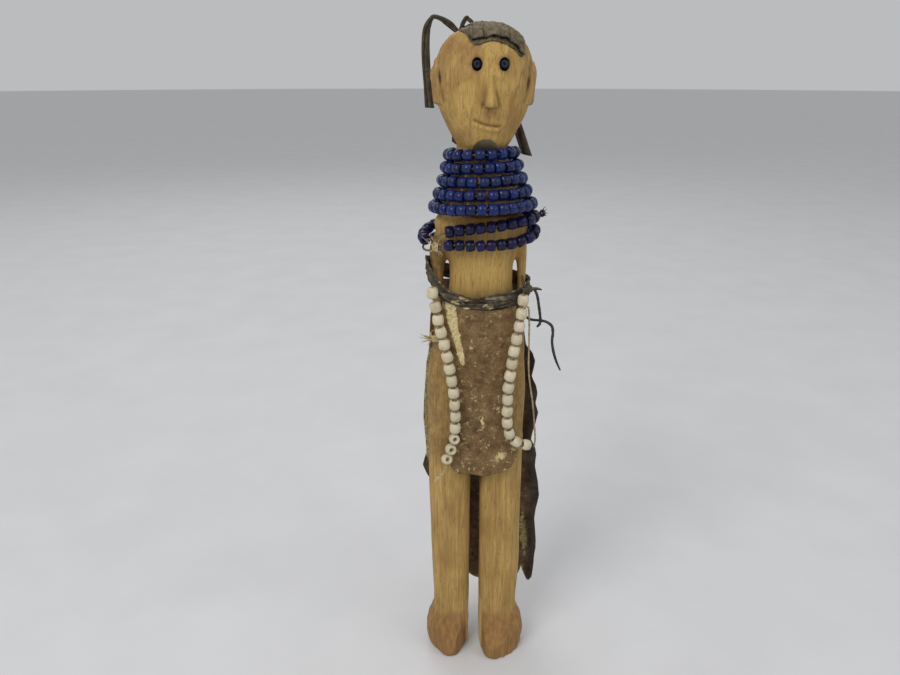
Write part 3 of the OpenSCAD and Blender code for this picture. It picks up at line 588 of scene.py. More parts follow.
def shape_bead(width, length, hole, around=14, over=6, square=0.55):
    """One wound bead, its hole along Z: a ring drawn out, with square shoulders."""
    deselect()
    bpy.ops.mesh.primitive_torus_add(major_segments=around, minor_segments=over,
                                     major_radius=(width + hole) / 4 * MM,
                                     minor_radius=(width - hole) / 4 * MM)
    bead = bpy.context.object
    bpy.ops.object.mode_set(mode="EDIT")
    bpy.ops.mesh.select_all(action="SELECT")
    bpy.ops.transform.resize(value=(1, 1, 2 * length / (width - hole)))
    bpy.ops.object.mode_set(mode="OBJECT")
    mesh = bead.data.copy()
    bpy.data.objects.remove(bead)
    spots = points_of(mesh)
    reach = np.hypot(spots[:, 0], spots[:, 1])
    middle, half = (width + hole) / 4, (width - hole) / 4
    across, along = (reach - middle) / half, spots[:, 2] / (length / 2)
    across, along = (np.sign(way) * np.abs(way) ** square for way in (across, along))
    spots[:, :2] *= ((middle + half * across) / reach)[:, None]
    spots[:, 2] = along * length / 2
    move_points(mesh, spots)
    return mesh


def string_beads(name, model, spots, finish, uneven=0.03, tilt=5):
    """Copies one bead to each (place, direction), each a little different, as one piece."""
    patterns = points_of(model)
    faces = [tuple(face.vertices) for face in model.polygons]
    points, sides, tones = [], [], []
    for place, way in spots:
        turn = Vector(way).to_track_quat("Z", "Y").to_matrix()
        lean = Euler([math.radians(chance.gauss(0, tilt)) for _ in range(2)]
                     + [chance.uniform(0, 6.28)]).to_matrix()
        sizes = [1 - abs(chance.gauss(0, uneven)) for _ in range(2)]
        shape = np.array(turn @ lean) @ np.diag([sizes[0], sizes[0], sizes[1]])
        start = sum(len(part) for part in points)
        points.append(patterns @ shape.T + np.array(place))
        sides += [tuple(start + corner for corner in face) for face in faces]
        tones += [chance.random()] * len(patterns)
    mesh = bpy.data.meshes.new(name)
    mesh.from_pydata((np.vstack(points) * MM).tolist(), [], sides)
    mesh.polygons.foreach_set("use_smooth", [True] * len(sides))
    piece = bpy.data.objects.new(name, mesh)
    room.collection.objects.link(piece)
    brush(mesh, "tone", tones)
    mesh.materials.append(finish.mat)
    return piece


eye_glass = Finish("eye_glass", 0.55, Specular_IOR_Level=0.3)
eye_glass.colour(eye_glass.ramp(eye_glass.cloud(1.5), (0.35, (0.004, 0.005, 0.008)),
                                (0.7, (0.016, 0.024, 0.038))))
eye_glass.relief(eye_glass.cloud(0.7), 0.08)
EYE_WIDTH, EYE_LONG, EYE_HOLE = 3.9, 2.8, 0.12
EYE_Y = -15.3
eye_pair = string_beads("eye_glass_beads", shape_bead(EYE_WIDTH, EYE_LONG, EYE_HOLE, 24, 12, 0.9),
                        [((eye_x, EYE_Y, eye_z), (0, 1, 0)) for eye_x, eye_z in EYES], eye_glass, 0.01, 3)
stands_for(eye_pair, "doll", "eye_beads")

# ---------------------------------------------------------------------------
# Five rings of blue wound glass beads stacked round the neck, widest at the
# bottom, each strung tight on a greasy brown sinew thread that shows in between.
RING_MIDDLE = 248.225
RING_PITCH = 5.45
RINGS = ((14.4, 19), (15.75, 22), (17.4, 24), (19.35, 27), (21.6, 31))
THREAD_WIDTH = 1.0
neck_lean = Euler((math.radians(-3), math.radians(-2), 0)).to_matrix()

blue_glass = Finish("blue_glass", 0.3, Specular_IOR_Level=0.3, Coat_Weight=0.08, Coat_Roughness=0.15)
deep = blue_glass.ramp(blue_glass.painted("tone"), (0.0, (0.003, 0.007, 0.050)),
                       (0.35, (0.004, 0.012, 0.092)), (0.7, (0.005, 0.018, 0.125)),
                       (1.0, (0.005, 0.015, 0.068)))
grime_share = blue_glass.ramp(blue_glass.cloud(2.2, detail=6), (0.52, 0.0), (0.72, 0.6))
blue_glass.colour(blue_glass.mix(grime_share, deep, (0.010, 0.014, 0.040)))
blue_glass.sheen(blue_glass.ramp(blue_glass.cloud(1.4), (0.35, 0.16), (0.7, 0.42)))
blue_glass.relief(blue_glass.cloud(0.8, detail=3), 0.09)

thread_finish = Finish("greasy_thread", 0.75)
thread_finish.colour(thread_finish.ramp(thread_finish.cloud(1.1, detail=4), (0.35, (0.075, 0.050, 0.022)),
                                        (0.65, (0.24, 0.17, 0.085))))
thread_finish.relief(thread_finish.cloud(0.35), 0.15)

BEAD_WIDTH, BLUE_LONG, BLUE_HOLE = 5.3, 4.35, 1.3
blue_bead = shape_bead(BEAD_WIDTH, BLUE_LONG, BLUE_HOLE)
for ring, (reach, count) in enumerate(RINGS):
    spots = []
    for k in range(count):
        angle = 2 * math.pi * (k + chance.uniform(-0.06, 0.06)) / count
        level = (2 - ring) * RING_PITCH + chance.uniform(-0.16, 0.16)
        spot = neck_lean @ Vector((reach * math.cos(angle), reach * math.sin(angle), level))
        spots.append((spot + Vector((0, 0, RING_MIDDLE)),
                      neck_lean @ Vector((-math.sin(angle), math.cos(angle), 0))))
    beads = string_beads(f"neck_ring_{ring + 1}", blue_bead, spots, blue_glass)
    stands_for(beads, f"neck_ring_{ring + 1}", f"neck_beads_{ring + 1}")
    loop = [spot for spot, way in spots]
    thread = lay_string(f"neck_string_{ring + 1}", smooth_path(loop + loop[:2], 2)[:-1],
                        THREAD_WIDTH, thread_finish, 0.12)
    stands_for(thread, f"neck_ring_{ring + 1}", f"neck_thread_{ring + 1}")

# ---------------------------------------------------------------------------
# Two turns of darker, purple blue beads slung round the shoulders. They come
# together in front of the arm at -X, where pale sinew is knotted over them.
STRAND_REACH = (24.9, 14.45)
STRAND_PITCH = 4.5
LOOP_MIDDLE = -1.2
SHOULDER = 233
UPPER_DROP = (-0.8, -1.6, -2.4, -3.2, -5, -7.5, -9.8, -9.8, -5.6, -3.6, -1.8, -0.8)
LOWER_DROP = (-6.9, -7.6, -8.6, -9.6, -11.4, -13.4, -14.6, -14.6, -11.4, -11.2, -10.4, -8.6)


def round_body(angle, reach, level, drops):
    """A point on a loop round the body: 0 degrees at +X, 90 behind."""
    step = angle % 360 / 30
    k, t = int(step), step % 1
    a, b, c, d = (drops[(k + j) % 12] for j in (-1, 0, 1, 2))
    rise = b + t / 2 * (c - a + t * (2 * a - 5 * b + 4 * c - d + t * (3 * (b - c) + d - a)))
    cos, sin = math.cos(math.radians(angle)), math.sin(math.radians(angle))
    return Vector((LOOP_MIDDLE + reach[0] * math.copysign(abs(cos) ** (1 / 1.2), cos),
                   reach[1] * math.copysign(abs(sin) ** (1 / 1.2), sin), level + rise))


def spaced(path, start, pitch, end=0):
    """Places and directions along a path, pitch millimetres apart."""
    run, want, spots = 0, start, []
    total = sum((b - a).length for a, b in zip(path, path[1:]))
    for a, b in zip(path, path[1:]):
        part = (b - a).length
        while want <= run + part and want <= total - end:
            spots.append((a.lerp(b, (want - run) / part), b - a))
            want += pitch
        run += part
    return spots


indigo_glass = Finish("indigo_glass", 0.32, Specular_IOR_Level=0.28, Coat_Weight=0.06, Coat_Roughness=0.18)
deep = indigo_glass.ramp(indigo_glass.painted("tone"),
                         (0.0, (0.004, 0.004, 0.030)), (0.5, (0.006, 0.005, 0.052)),
                         (0.85, (0.008, 0.006, 0.070)), (1.0, (0.005, 0.008, 0.034)))
grime_share = indigo_glass.ramp(indigo_glass.cloud(2, detail=6), (0.5, 0.0), (0.7, 0.7))
indigo_glass.colour(indigo_glass.mix(grime_share, deep, (0.008, 0.008, 0.018)))
indigo_glass.sheen(indigo_glass.ramp(indigo_glass.cloud(1.4), (0.35, 0.18), (0.7, 0.48)))
indigo_glass.relief(indigo_glass.cloud(0.8, detail=3), 0.1)

for strand, drops, last_angle in (("upper", UPPER_DROP, 567), ("lower", LOWER_DROP, 510)):
    path = [round_body(angle, STRAND_REACH, SHOULDER, drops) for angle in range(240, last_angle + 1, 3)]
    beads = string_beads(f"shoulder_beads_{strand}", blue_bead, spaced(path, 1, STRAND_PITCH, 0.9),
                         indigo_glass, 0.06, 7)
    stands_for(beads, "doll", f"chest_beads_{strand}")
    path = [round_body(angle, STRAND_REACH, SHOULDER, drops) for angle in range(0, 365, 5)]
    thread = lay_string(f"shoulder_string_{strand}", path, THREAD_WIDTH, thread_finish, 0.12)
    stands_for(thread, "doll", f"chest_thread_{strand}")


def wisps(root, tips, seed, spread=0.6):
    """Loose fibres from one root, each by a step to its own tip, as paths."""
    dice = random.Random(seed)
    paths = []
    for tip in (root + Vector(step) for step in tips):
        middle = [root.lerp(tip, share) + Vector([dice.uniform(-spread, spread) for _ in range(3)])
                  for share in (0.33, 0.66)]
        paths.append(smooth_path([root, *middle, tip], 4))
    return paths


def join(name, pieces):
    deselect()
    for piece in pieces:
        piece.select_set(True)
    bpy.context.view_layer.objects.active = pieces[0]
    if len(pieces) > 1:
        bpy.ops.object.join()
    bpy.context.object.name = name
    return bpy.context.object


def wind(centre, along, reach, turns, pitch, wobble, seed):
    """A lashing wound round a middle line, as one path that starts upwards."""
    dice = random.Random(seed)
    along, across = Vector(along).normalized(), Vector((0, 0, 1))
    third = along.cross(across)
    path = []
    for k in range(int(turns * 10) + 1):
        angle = 2 * math.pi * k / 10
        off = reach * (1 + dice.uniform(-wobble, wobble))
        path.append(Vector(centre) + along * ((k / 10 - turns / 2) * pitch)
                    + across * (off * math.cos(angle)) + third * (off * math.sin(angle)))
    return path


sinew = Finish("dried_sinew", 0.6, Specular_IOR_Level=0.4)
sinew.colour(sinew.ramp(sinew.cloud(1.6, detail=5), (0.32, (0.20, 0.12, 0.045)), (0.5, (0.50, 0.38, 0.19)),
                        (0.72, (0.72, 0.60, 0.38))))
sinew.relief(sinew.cloud(0.4, (1, 1, 0.5)), 0.12)

tie = Vector((-19.6, -11.1, 220.4))
tie_parts = [lay_string("wrap", wind(tie, (0.8, -0.5, -0.2), 1.5, 4, 0.75, 0.16, 5), 0.75, sinew, 0.15)]
for path in wisps(tie, ((-6.4, 0.2, 4.6), (-5, 0.4, 3.4), (-2.6, -0.6, 5.4), (1.6, -1, 4), (3.4, -1, -1.6),
                        (0.8, -0.6, -4.4), (-3.4, 0.6, -2.6), (2.6, -1.4, -3.4)), 3):
    tie_parts.append(lay_string("wisp", path, 0.42, sinew, 0.2, 0.3))
stands_for(join("sinew_tie", tie_parts), "doll", "chest_knot_left")

frayed = Vector((26.9, 0.2, 233.2))
tie_parts = [lay_string("wrap", wind(frayed, (0, 1, 0.3), 1.0, 3, 0.8, 0.25, 9), 0.8, thong_finish, 0.2)]
for path in wisps(frayed, ((1.9, -1, 2.2), (2.3, -1.2, 0.6), (1.2, -0.6, 3), (2.1, 0.4, -1),
                           (0.4, -1.2, 2.6)), 11, 0.35):
    tie_parts.append(lay_string("wisp", path, 0.36, thong_finish, 0.2, 0.3))
stands_for(join("frayed_tie", tie_parts), "doll", "chest_knot_right")

# ---------------------------------------------------------------------------
# The hair: a pleated strip of brown hide laid over the top of the forehead on
# a second, thinner one. Both run from the crown down to a ragged lower edge.
head_skin = BVHTree.FromPolygons([Vector(place) for place in points_of(body.data)],
                                 [tuple(face.vertices) for face in body.data.polygons])
HEAD_HEART = Vector((0.8, 0, 286))
CROWN, ABOVE = 310, 360
SIGHT = 60


def lay_hide(name, across, down, place_at, thickness, finish, brushed=None):
    """A strip or sheet of hide, from its places for shares across and down."""
    deselect()
    bpy.ops.mesh.primitive_grid_add(x_subdivisions=across, y_subdivisions=down, size=2 * MM)
    piece = bpy.context.object
    piece.name = name
    flat = points_of(piece.data)
    s, t = (flat[:, 0] + 1) / 2, (1 - flat[:, 1]) / 2
    move_points(piece.data, place_at(s, t))
    for layer, shares in (brushed(s, t) if brushed else {}).items():
        brush(piece.data, layer, shares)
    apply_modifier(piece, "SOLIDIFY", thickness=thickness * MM, offset=0)
    apply_modifier(piece, "SUBSURF", levels=1, render_levels=1)
    piece.data.materials.clear()
    piece.data.materials.append(finish.mat)
    bpy.ops.object.shade_smooth()
    return piece


def seen_at(start, towards):
    """The way from the head's heart to the wood met by a line of sight."""
    return (head_skin.ray_cast(Vector(start), Vector(towards))[0] - HEAD_HEART).normalized()


def over_head(top, foot, share, lift):
    """A point on the head between two ways from its heart, lifted off the wood."""
    way = top.lerp(foot, share).normalized()
    return head_skin.ray_cast(HEAD_HEART + way * SIGHT, -way)[0] + way * lift


hair_hide = Finish("hair_hide", 0.7, Specular_IOR_Level=0.35)
tone = hair_hide.ramp(hair_hide.cloud(2.6, (1, 1, 0.6), detail=6), (0.3, (0.060, 0.045, 0.024)),
                      (0.5, (0.155, 0.118, 0.064)), (0.7, (0.26, 0.205, 0.115)))
tone = hair_hide.mix(hair_hide.ramp(hair_hide.cloud(0.45, (1, 1, 0.35)), (0.36, 0.7), (0.5, 0.0)),
                     tone, (0.03, 0.022, 0.014))
# painted shade along the creases and edges, and on the straps a darker tone all over
hair_hide.colour(hair_hide.mix(hair_hide.painted("fold_shade_and_tone"), tone, (0.010, 0.007, 0.005)))
hair_hide.relief(hair_hide.cloud(1.1, (1, 1, 0.5), detail=6), 0.35)
hair_hide.relief(hair_hide.cloud(0.35), 0.08)

# the lower edges, from the doll's right to its left, as (x, z)
CREST_EDGE = ((-5.3, 302.9), (-1, 303.3), (2.8, 304.3), (5, 303.9), (8, 302.9), (11.3, 300.6), (13.4, 298.2),
              (14.5, 297.2))
UNDER_EDGE = ((-10.4, 307.4), (-8, 306), (-6, 303), (-4.6, 301.5), (-2.4, 301.6), (0, 302.6), (2.6, 303.2),
              (5, 302.7), (8, 301.8), (11.3, 299.8), (13, 297.8), (14.5, 297.2))
CREST_FOLDS = (-0.1, 0.035, 0.24, 0.53, 0.70, 0.85, 1.2)
CREST_HIGH = (0.6, 0.9, 0.75, 1.2, 1.1, 0.8)


def crest_pleats(s, t):
    """How far each pleat stands up: it rises slowly and drops at its crease; also where painted shade darkens
    each crease.
    """
    at = s - 0.10 * (t - 0.5) * (s - 0.3) + 0.014 * np.sin(7 * t + 11 * s)
    lift = np.zeros(len(s))
    crease = np.zeros(len(s))
    for start, end, high in zip(CREST_FOLDS, CREST_FOLDS[1:], CREST_HIGH):
        share = np.clip((at - start) / (end - start), 0, 1)
        inside = (at >= start) & (at < end)
        lift = np.where(inside, high * (0.35 + 0.65 * np.sin(share * 1.9)) * (0.25 + 0.75 * t), lift)
        # painted shade along each crease
        crease = np.maximum(crease, bell(at - start, 0.011) * (0.55 + 0.45 * np.sin(5 * t + 40 * start)))
    return lift, crease


def crest_at(edge, pleated, base):
    """Places from the crown down to an edge, pleated and lifted off the wood."""
    left, right = edge[0][0], edge[-1][0]

    def place_at(s, t):
        lift = crest_pleats(s, t)[0] * pleated + base
        spots = []
        for share, down, high in zip(s, t, lift):
            x = left + share * (right - left)
            foot = seen_at((x, -SIGHT, follow(x, edge)), (0, 1, 0))
            top = seen_at((x * 0.86 - 0.4, 0.4, ABOVE), (0, 0, -1))
            dimple = 0.25 * noise.noise(Vector((x * 0.5, down * 4, base)))
            spots.append(over_head(top, foot, down, high + dimple))
        return np.array(spots)
    return place_at


# the crest gets painted shade along each crease and at its lower edge
crest = lay_hide("hair_crest", 120, 22, crest_at(CREST_EDGE, 1.0, 0.85), 0.6, hair_hide,
                 lambda s, t: {"fold_shade_and_tone": np.maximum(crest_pleats(s, t)[1], 0.8 * bell(t - 1, 0.03))})
stands_for(crest, "doll", "hair_crest")
# the under layer gets painted shade in a band just above its lower edge and along the edge
under = lay_hide("hair_underlayer", 100, 20, crest_at(UNDER_EDGE, 0.12, 0.25), 0.4, hair_hide,
                 lambda s, t: {"fold_shade_and_tone": 0.75 * bell(t - 0.84, 0.07) + 0.5 * bell(t - 1, 0.03)})
stands_for(under, "doll", "hair_underlayer")

# ---------------------------------------------------------------------------
# A small loop of folded hide stands up at the crown. Beside it a long strap
# rises, turns over and hangs beside the head, free to swing at its root.


def ruled(first, second, middle_y, root, folds, waves):
    """A flat strap between two edges, each a list of (x, z) steps from its root."""
    first, second = (np.array(smooth_path([(x, 0, z) for x, z in edge], 6)) for edge in (first, second))
    steps = np.linspace(0, 1, len(first))

    def place_at(s, t):
        one, two = (np.stack([np.interp(t, steps, edge[:, k]) for k in (0, 2)], 1)
                    for edge in (first, second))
        flat = one + (two - one) * s[:, None]
        y = middle_y + folds * np.sin(s * 9.4 + 5 * t) * 0.5 + waves * np.sin(11 * t + 2 * s)
        y += 0.25 * np.array([noise.noise(Vector((a * 3, b * 18, 1))) for a, b in zip(s, t)])
        return np.stack([root[0] + flat[:, 0], y, root[1] + flat[:, 1]], 1)
    return place_at


# painted shade along two creases, darker long edges, and a darker tone over the whole strip
def strap_brush(s, t):
    creases = 0.45 * bell(s - 0.36 - 0.1 * np.sin(6 * t), 0.07)
    creases += 0.5 * bell(s - 0.72 + 0.08 * np.sin(9 * t), 0.05)
    return {"fold_shade_and_tone": 0.55 + creases + 0.6 * fade(np.abs(s - 0.5), 0.42, 0.5)}


loop_piece = lay_hide("hair_loop", 8, 48, ruled(
    ((-1.8, -0.7), (-1.3, 0.9), (-0.4, 2.8), (0.6, 4.2), (1.7, 4.6), (3, 3.6), (4.3, 2.6)),
    ((-0.6, -0.4), (0, 0.4), (0.6, 1.3), (1.2, 2.4), (1.7, 2.8), (2.4, 2.2), (3.4, 1.4)),
    1.85, (-8.6, CROWN - 1.2), 0.3, 0.15), 0.9, hair_hide, strap_brush)
stands_for(loop_piece, "doll", "hair_loop")
strap = lay_hide("hair_strap", 10, 130, ruled(
    ((1.3, -0.6), (-2, 2.9), (-5.4, 4.5), (-9.6, 5.2), (-12.2, 3), (-13.8, -0.4), (-14.4, -6), (-14.4, -12.6),
     (-13.8, -21), (-13.3, -31)),
    ((-0.2, -1.7), (-3.1, 0.5), (-5.6, 2.3), (-8.9, 3.9), (-10.4, 0.9), (-10.9, -3), (-11, -8), (-10.8, -15),
     (-10.4, -23), (-9.2, -31.2)),
    3.85, (-11.4, CROWN - 1.4), 0.35, 0.2), 0.8, hair_hide, strap_brush)
stands_for(strap, "hair_strap", "hair_strap")

# ---------------------------------------------------------------------------
# Two tails of the same hide come over the crown, lie down the back of the
# head and hang free behind the neck, each cut to a point.
TAIL_ROOT = 295.3
TAIL_WIDTH = 4
LYING = 0.42


def tail_at(left_x, first, second):
    """Places down a tail: its upper part lies on the head, the rest hangs."""
    def place_at(s, t):
        spots = []
        for share, fall in zip(s, t):
            if fall < LYING:
                x = left_x + TAIL_WIDTH * share
                top = seen_at((x, 2.4, ABOVE), (0, 0, -1))
                foot = seen_at((x, SIGHT, TAIL_ROOT), (0, -1, 0))
                lift = 0.9 + 0.25 * math.sin(9 * share + 12 * fall)
                spots.append(over_head(top, foot, fall / LYING, lift))
                continue
            hang = (fall - LYING) / (1 - LYING)
            one, two = (np.array([np.interp(hang, np.linspace(0, 1, len(edge)), steps)
                                  for steps in zip(*edge)]) for edge in (first, second))
            x, z = one + (two - one) * share
            y = 19.7 + 0.4 * math.sin(8 * share + 7 * hang) + 0.6 * math.sin(5 * hang)
            spots.append((left_x + x, y, TAIL_ROOT + z))
        return np.array(spots)
    return place_at


TAILS = (("left", -9, ((0, 0), (-1.6, -11), (-3.4, -23), (-4.2, -33)),
          ((4, 0), (2.6, -13), (1.2, -27), (-1.2, -35))),
         ("right", 5, ((0, 0), (3, -14), (9.4, -27), (13.6, -38.6)),
          ((4, 0), (7.6, -12), (12.8, -24.5), (18.6, -39.6))))
for name, left_x, first, second in TAILS:
    tail = lay_hide(f"hair_tail_{name}", 10, 90, tail_at(left_x, first, second), 0.8, hair_hide, strap_brush)
    stands_for(tail, "doll", f"hair_tail_{name}")

# ---------------------------------------------------------------------------
# The belt: two strips of old hide, twisted and creased, wound round the hips
# and both arms. It is knotted at +X, and pale scraps of the raw side show.
BELT_REACH = (23.25, 14.7)
BELT_LEVELS = {"upper": (202, 4.0), "lower": (198.55, 2.6)}
BELT_DROP = (0, 0, 1, 1.5, 3, 6.5, 10, 5, -2.6, -4, -3, -1.2)
BELT_START, BELT_TURN = 337, 358
BELT_FRONT = 262

belt_hide = Finish("belt_hide", 0.6, Specular_IOR_Level=0.4)
tone = belt_hide.ramp(belt_hide.cloud(2.2, (1, 1, 1.6), detail=6), (0.3, (0.022, 0.016, 0.010)),
                      (0.5, (0.062, 0.048, 0.028)), (0.7, (0.125, 0.098, 0.058)))
# painted shade along the belt's creases
tone = belt_hide.mix(belt_hide.painted("fold_shade_and_tone"), tone, (0.010, 0.007, 0.005))
raw = belt_hide.sum("MULTIPLY", belt_hide.painted("raw"), belt_hide.ramp(
    belt_hide.cloud(2.6, (0.5, 1, 1.4), detail=7), (0.55, 0.0), (0.60, 1.0)))
belt_hide.colour(belt_hide.mix(raw, tone, belt_hide.ramp(
    belt_hide.cloud(0.8), (0.35, (0.42, 0.31, 0.14)), (0.65, (0.72, 0.60, 0.36)))))
belt_hide.relief(belt_hide.cloud(0.9, (0.5, 0.5, 1.4), detail=6), 0.4)
belt_hide.relief(raw, 0.15)


def strip_at(strip):
    level, width = BELT_LEVELS[strip]

    def place_at(s, t):
        spots = []
        for share, run in zip(s, t):
            angle = BELT_START + BELT_TURN * run
            spot = round_body(angle, BELT_REACH, level, BELT_DROP)
            along = (round_body(angle + 2, BELT_REACH, level, BELT_DROP) - spot).normalized()
            outwards = Vector((spot.x - LOOP_MIDDLE, spot.y * 2.2, 0)).normalized()
            up = along.cross(outwards).normalized()
            up = up if up.z > 0 else -up
            kink = noise.noise(Vector((angle * 0.045, level, 3)))
            twist = 0.5 * kink + 1.1 * bell(angle - BELT_START - 289, 9) * (1 if strip == "upper" else -0.6)
            off = (share - 0.5) * width * (1 + 0.16 * noise.noise(Vector((angle * 0.08, 7, level))))
            crease = 0.34 * math.sin(share * 8.6 + 5 * kink)
            crease += 0.22 * noise.noise(Vector((share * 4, angle * 0.2, level)))
            spots.append(spot + up * (off * math.cos(twist)) + outwards * (off * math.sin(twist) + crease))
        return np.array(spots)
    return place_at


def strip_brush(s, t):
    angle = (BELT_START + BELT_TURN * t) % 360
    front = fade(np.abs(angle - BELT_FRONT), 62, 30)
    edge = fade(np.abs(s - 0.5), 0.34, 0.48)
    # painted shade along two creases
    return {"fold_shade_and_tone": 0.8 * bell(s - 0.34 - 0.10 * np.sin(angle * 0.1), 0.06) + 0.6 * bell(s - 0.70, 0.05),
            "raw": np.maximum(0.9 * front * edge, 0.95 * front * bell(angle - BELT_FRONT, 24)) + 0.35 * edge}


for strip, across in (("upper", 14), ("lower", 10)):
    belt = lay_hide(f"belt_{strip}", across, 260, strip_at(strip), 0.7, belt_hide, strip_brush)
    stands_for(belt, "doll", f"belt_{strip}_strip")

KNOT_MIDDLE = Vector((20.02, -11.6, 201.6))
KNOT_ENDS = (((0.6, -0.4, 0.2), (2.6, -0.2, 0.5), (4.6, 0.6, 0.2), (6.6, 1.4, -0.5)),
             ((-0.8, 0, 0.8), (-1.8, 0, 2.8), (-2.1, 0.4, 5), (-2.4, 1, 6.6)))
knot_turns = wind(KNOT_MIDDLE, (0.94, 0.34, 0.17), 1.15, 3.5, 1.15, 0.12, 21)
knot_parts = [lay_string("knot", knot_turns, 1.25, belt_hide, 0.14)]
for route in KNOT_ENDS:
    path = smooth_path([KNOT_MIDDLE + Vector(step) for step in route], 5)
    knot_parts.append(lay_string("knot_end", path, 1.3, belt_hide, 0.15, 0.5))
stands_for(join("belt_knot", knot_parts), "doll", "belt_knot")

# ---------------------------------------------------------------------------
# A few turns of dry grass tied round the wrist at -X, its ends frayed out
# sideways like a small brush.
BINDING_LOW = 174.4
BINDING_PITCH = 0.62
grass = Finish("dry_grass", 0.75)
grass.colour(grass.ramp(grass.cloud(1.2, (1, 1, 2), detail=5), (0.3, (0.22, 0.14, 0.05)),
                        (0.5, (0.46, 0.35, 0.16)), (0.72, (0.66, 0.55, 0.30))))
grass.relief(grass.cloud(0.3, (1, 1, 2)), 0.1)

binding_parts = []
for turn in range(5):
    level = BINDING_LOW + BINDING_PITCH * turn
    arc = [(-18.9, -4.4, level), (-20.6, -4.7, level + 0.2), (-22.3, -3.4, level - 0.1),
           (-22.9, -0.6, level + 0.15), (-22.6, 2.4, level - 0.1), (-21.2, 4.3, level + 0.1),
           (-19, 4.3, level)]
    arc = [Vector(step) + Vector([chance.uniform(-0.15, 0.15) for _ in range(3)]) for step in arc]
    binding_parts.append(lay_string("turn", smooth_path(arc, 5), 0.85, grass, 0.16))
root = Vector((-21.6, -3.4, 175.4))
for path in wisps(root, ((-6.4, -0.4, 2.6), (-6.8, -0.2, 0.9), (-5.9, -1, -0.6), (-4.6, -0.6, 1.8),
                         (-5.4, -0.4, -1.8), (-3.2, -1, -2.8)), 31, 0.4):
    binding_parts.append(lay_string("wisp", path, 0.55, grass, 0.25, 0.3))
stands_for(join("arm_binding", binding_parts), "doll", "arm_binding")

# ---------------------------------------------------------------------------
# The apron: thin goat hide, scraped brown in front with raw cream patches. It
# narrows at the middle, has a rounded foot, and swings below the belt.
APRON_TOP, APRON_LONG = 191.7, 81
APRON_ROWS = ((0, 17.4, 15.6), (0.08, 16.7, 15.3), (0.24, 14.1, 13.3), (0.45, 11.4, 11.4),
              (0.62, 10.3, 11.4), (0.76, 10.7, 12.3), (0.85, 12.8, 19.0), (0.91, 14.1, 17.5),
              (0.955, 13.6, 15.6), (0.985, 12, 12.9), (1, 9.4, 10.6))
APRON_TUCK = ((-17, 5), (-12, 3.4), (-6, 2), (2, 1.5), (9, 1.6), (15, 3.2))
row_shares, row_lefts, row_rights = np.array(APRON_ROWS).T


def apron_y(x, z):
    return -14.9 - 1.4 * (APRON_TOP - z) / APRON_LONG + 3.4 * (x / 20) ** 2


def patch_at(across, wide, down, high):
    """One soft oval patch, by how far places are from its middle both ways."""
    return bell(across, wide) * bell(down, high)


def hide_finish(name, dark, middle, light, raw_dark, raw_light, roughness):
    """Scraped hide: mottled skin, and raw patches where it is brushed on."""
    hide = Finish(name, roughness, Specular_IOR_Level=0.35)
    tone = hide.ramp(hide.cloud(5, detail=7, rough=0.65), (0.32, dark), (0.5, middle), (0.7, light))
    tone = hide.mix(hide.ramp(hide.cloud(0.8, detail=5), (0.36, 0.65), (0.48, 0.0)), tone, dark)
    speck = hide.ramp(hide.cloud(2.1, detail=8, rough=0.75), (0.565, 0.0), (0.62, 1.0))
    ragged = hide.sum("MULTIPLY", hide.cloud(2.4, detail=7, rough=0.7), 0.9)
    patch = hide.ramp(hide.sum("ADD", hide.painted("raw"), ragged), (0.72, 0.0), (0.80, 1.0))
    bare = hide.sum("MAXIMUM", patch, hide.sum("MULTIPLY", speck, hide.painted("specks")))
    tone = hide.mix(bare, tone, hide.ramp(hide.cloud(1.1, detail=5), (0.34, raw_dark), (0.62, raw_light)))
    # near black where brushed: the hides' own soot, and painted shade at the skirt's hole
    tone = hide.mix(hide.painted("soot_and_shade"), tone, (0.012, 0.009, 0.007))
    hide.colour(tone)
    hide.relief(hide.cloud(1.6, detail=7, rough=0.65), 0.30)
    hide.relief(hide.cells(0.7, feature="DISTANCE_TO_EDGE"), 0.06)
    hide.relief(bare, 0.10)
    return hide


apron_hide = hide_finish("apron_hide", (0.080, 0.042, 0.014), (0.185, 0.104, 0.038), (0.27, 0.175, 0.078),
                         (0.42, 0.30, 0.12), (0.72, 0.61, 0.32), 0.66)


def apron_at(s, t):
    wander = 0.35 * np.array([noise.noise(Vector((5 * share, 14 * down, 2)))
                              for share, down in zip(np.round(s), t)])
    left, right = np.interp(t, row_shares, row_lefts), np.interp(t, row_shares, row_rights)
    x = -left + s * (left + right) + wander * (np.abs(s - 0.5) * 2) ** 6
    z = APRON_TOP - t * APRON_LONG + 0.5 * t ** 20 * np.sin(8 * s)
    tucked = fade(t, 0.05, 0)
    z += tucked * follow(x, APRON_TUCK)
    flat = np.stack([x, 0 * x, z], 1)
    y = apron_y(x, z) + 0.30 * soft_noise(flat, (9, 9, 16), 21) + 0.10 * soft_noise(flat, (2.5, 9, 2.5), 5)
    y -= 0.35 * fade(np.abs(s - 0.5), 0.46, 0.5) + 1.1 * tucked * bell(x, 9)
    return np.stack([x, y, z], 1)


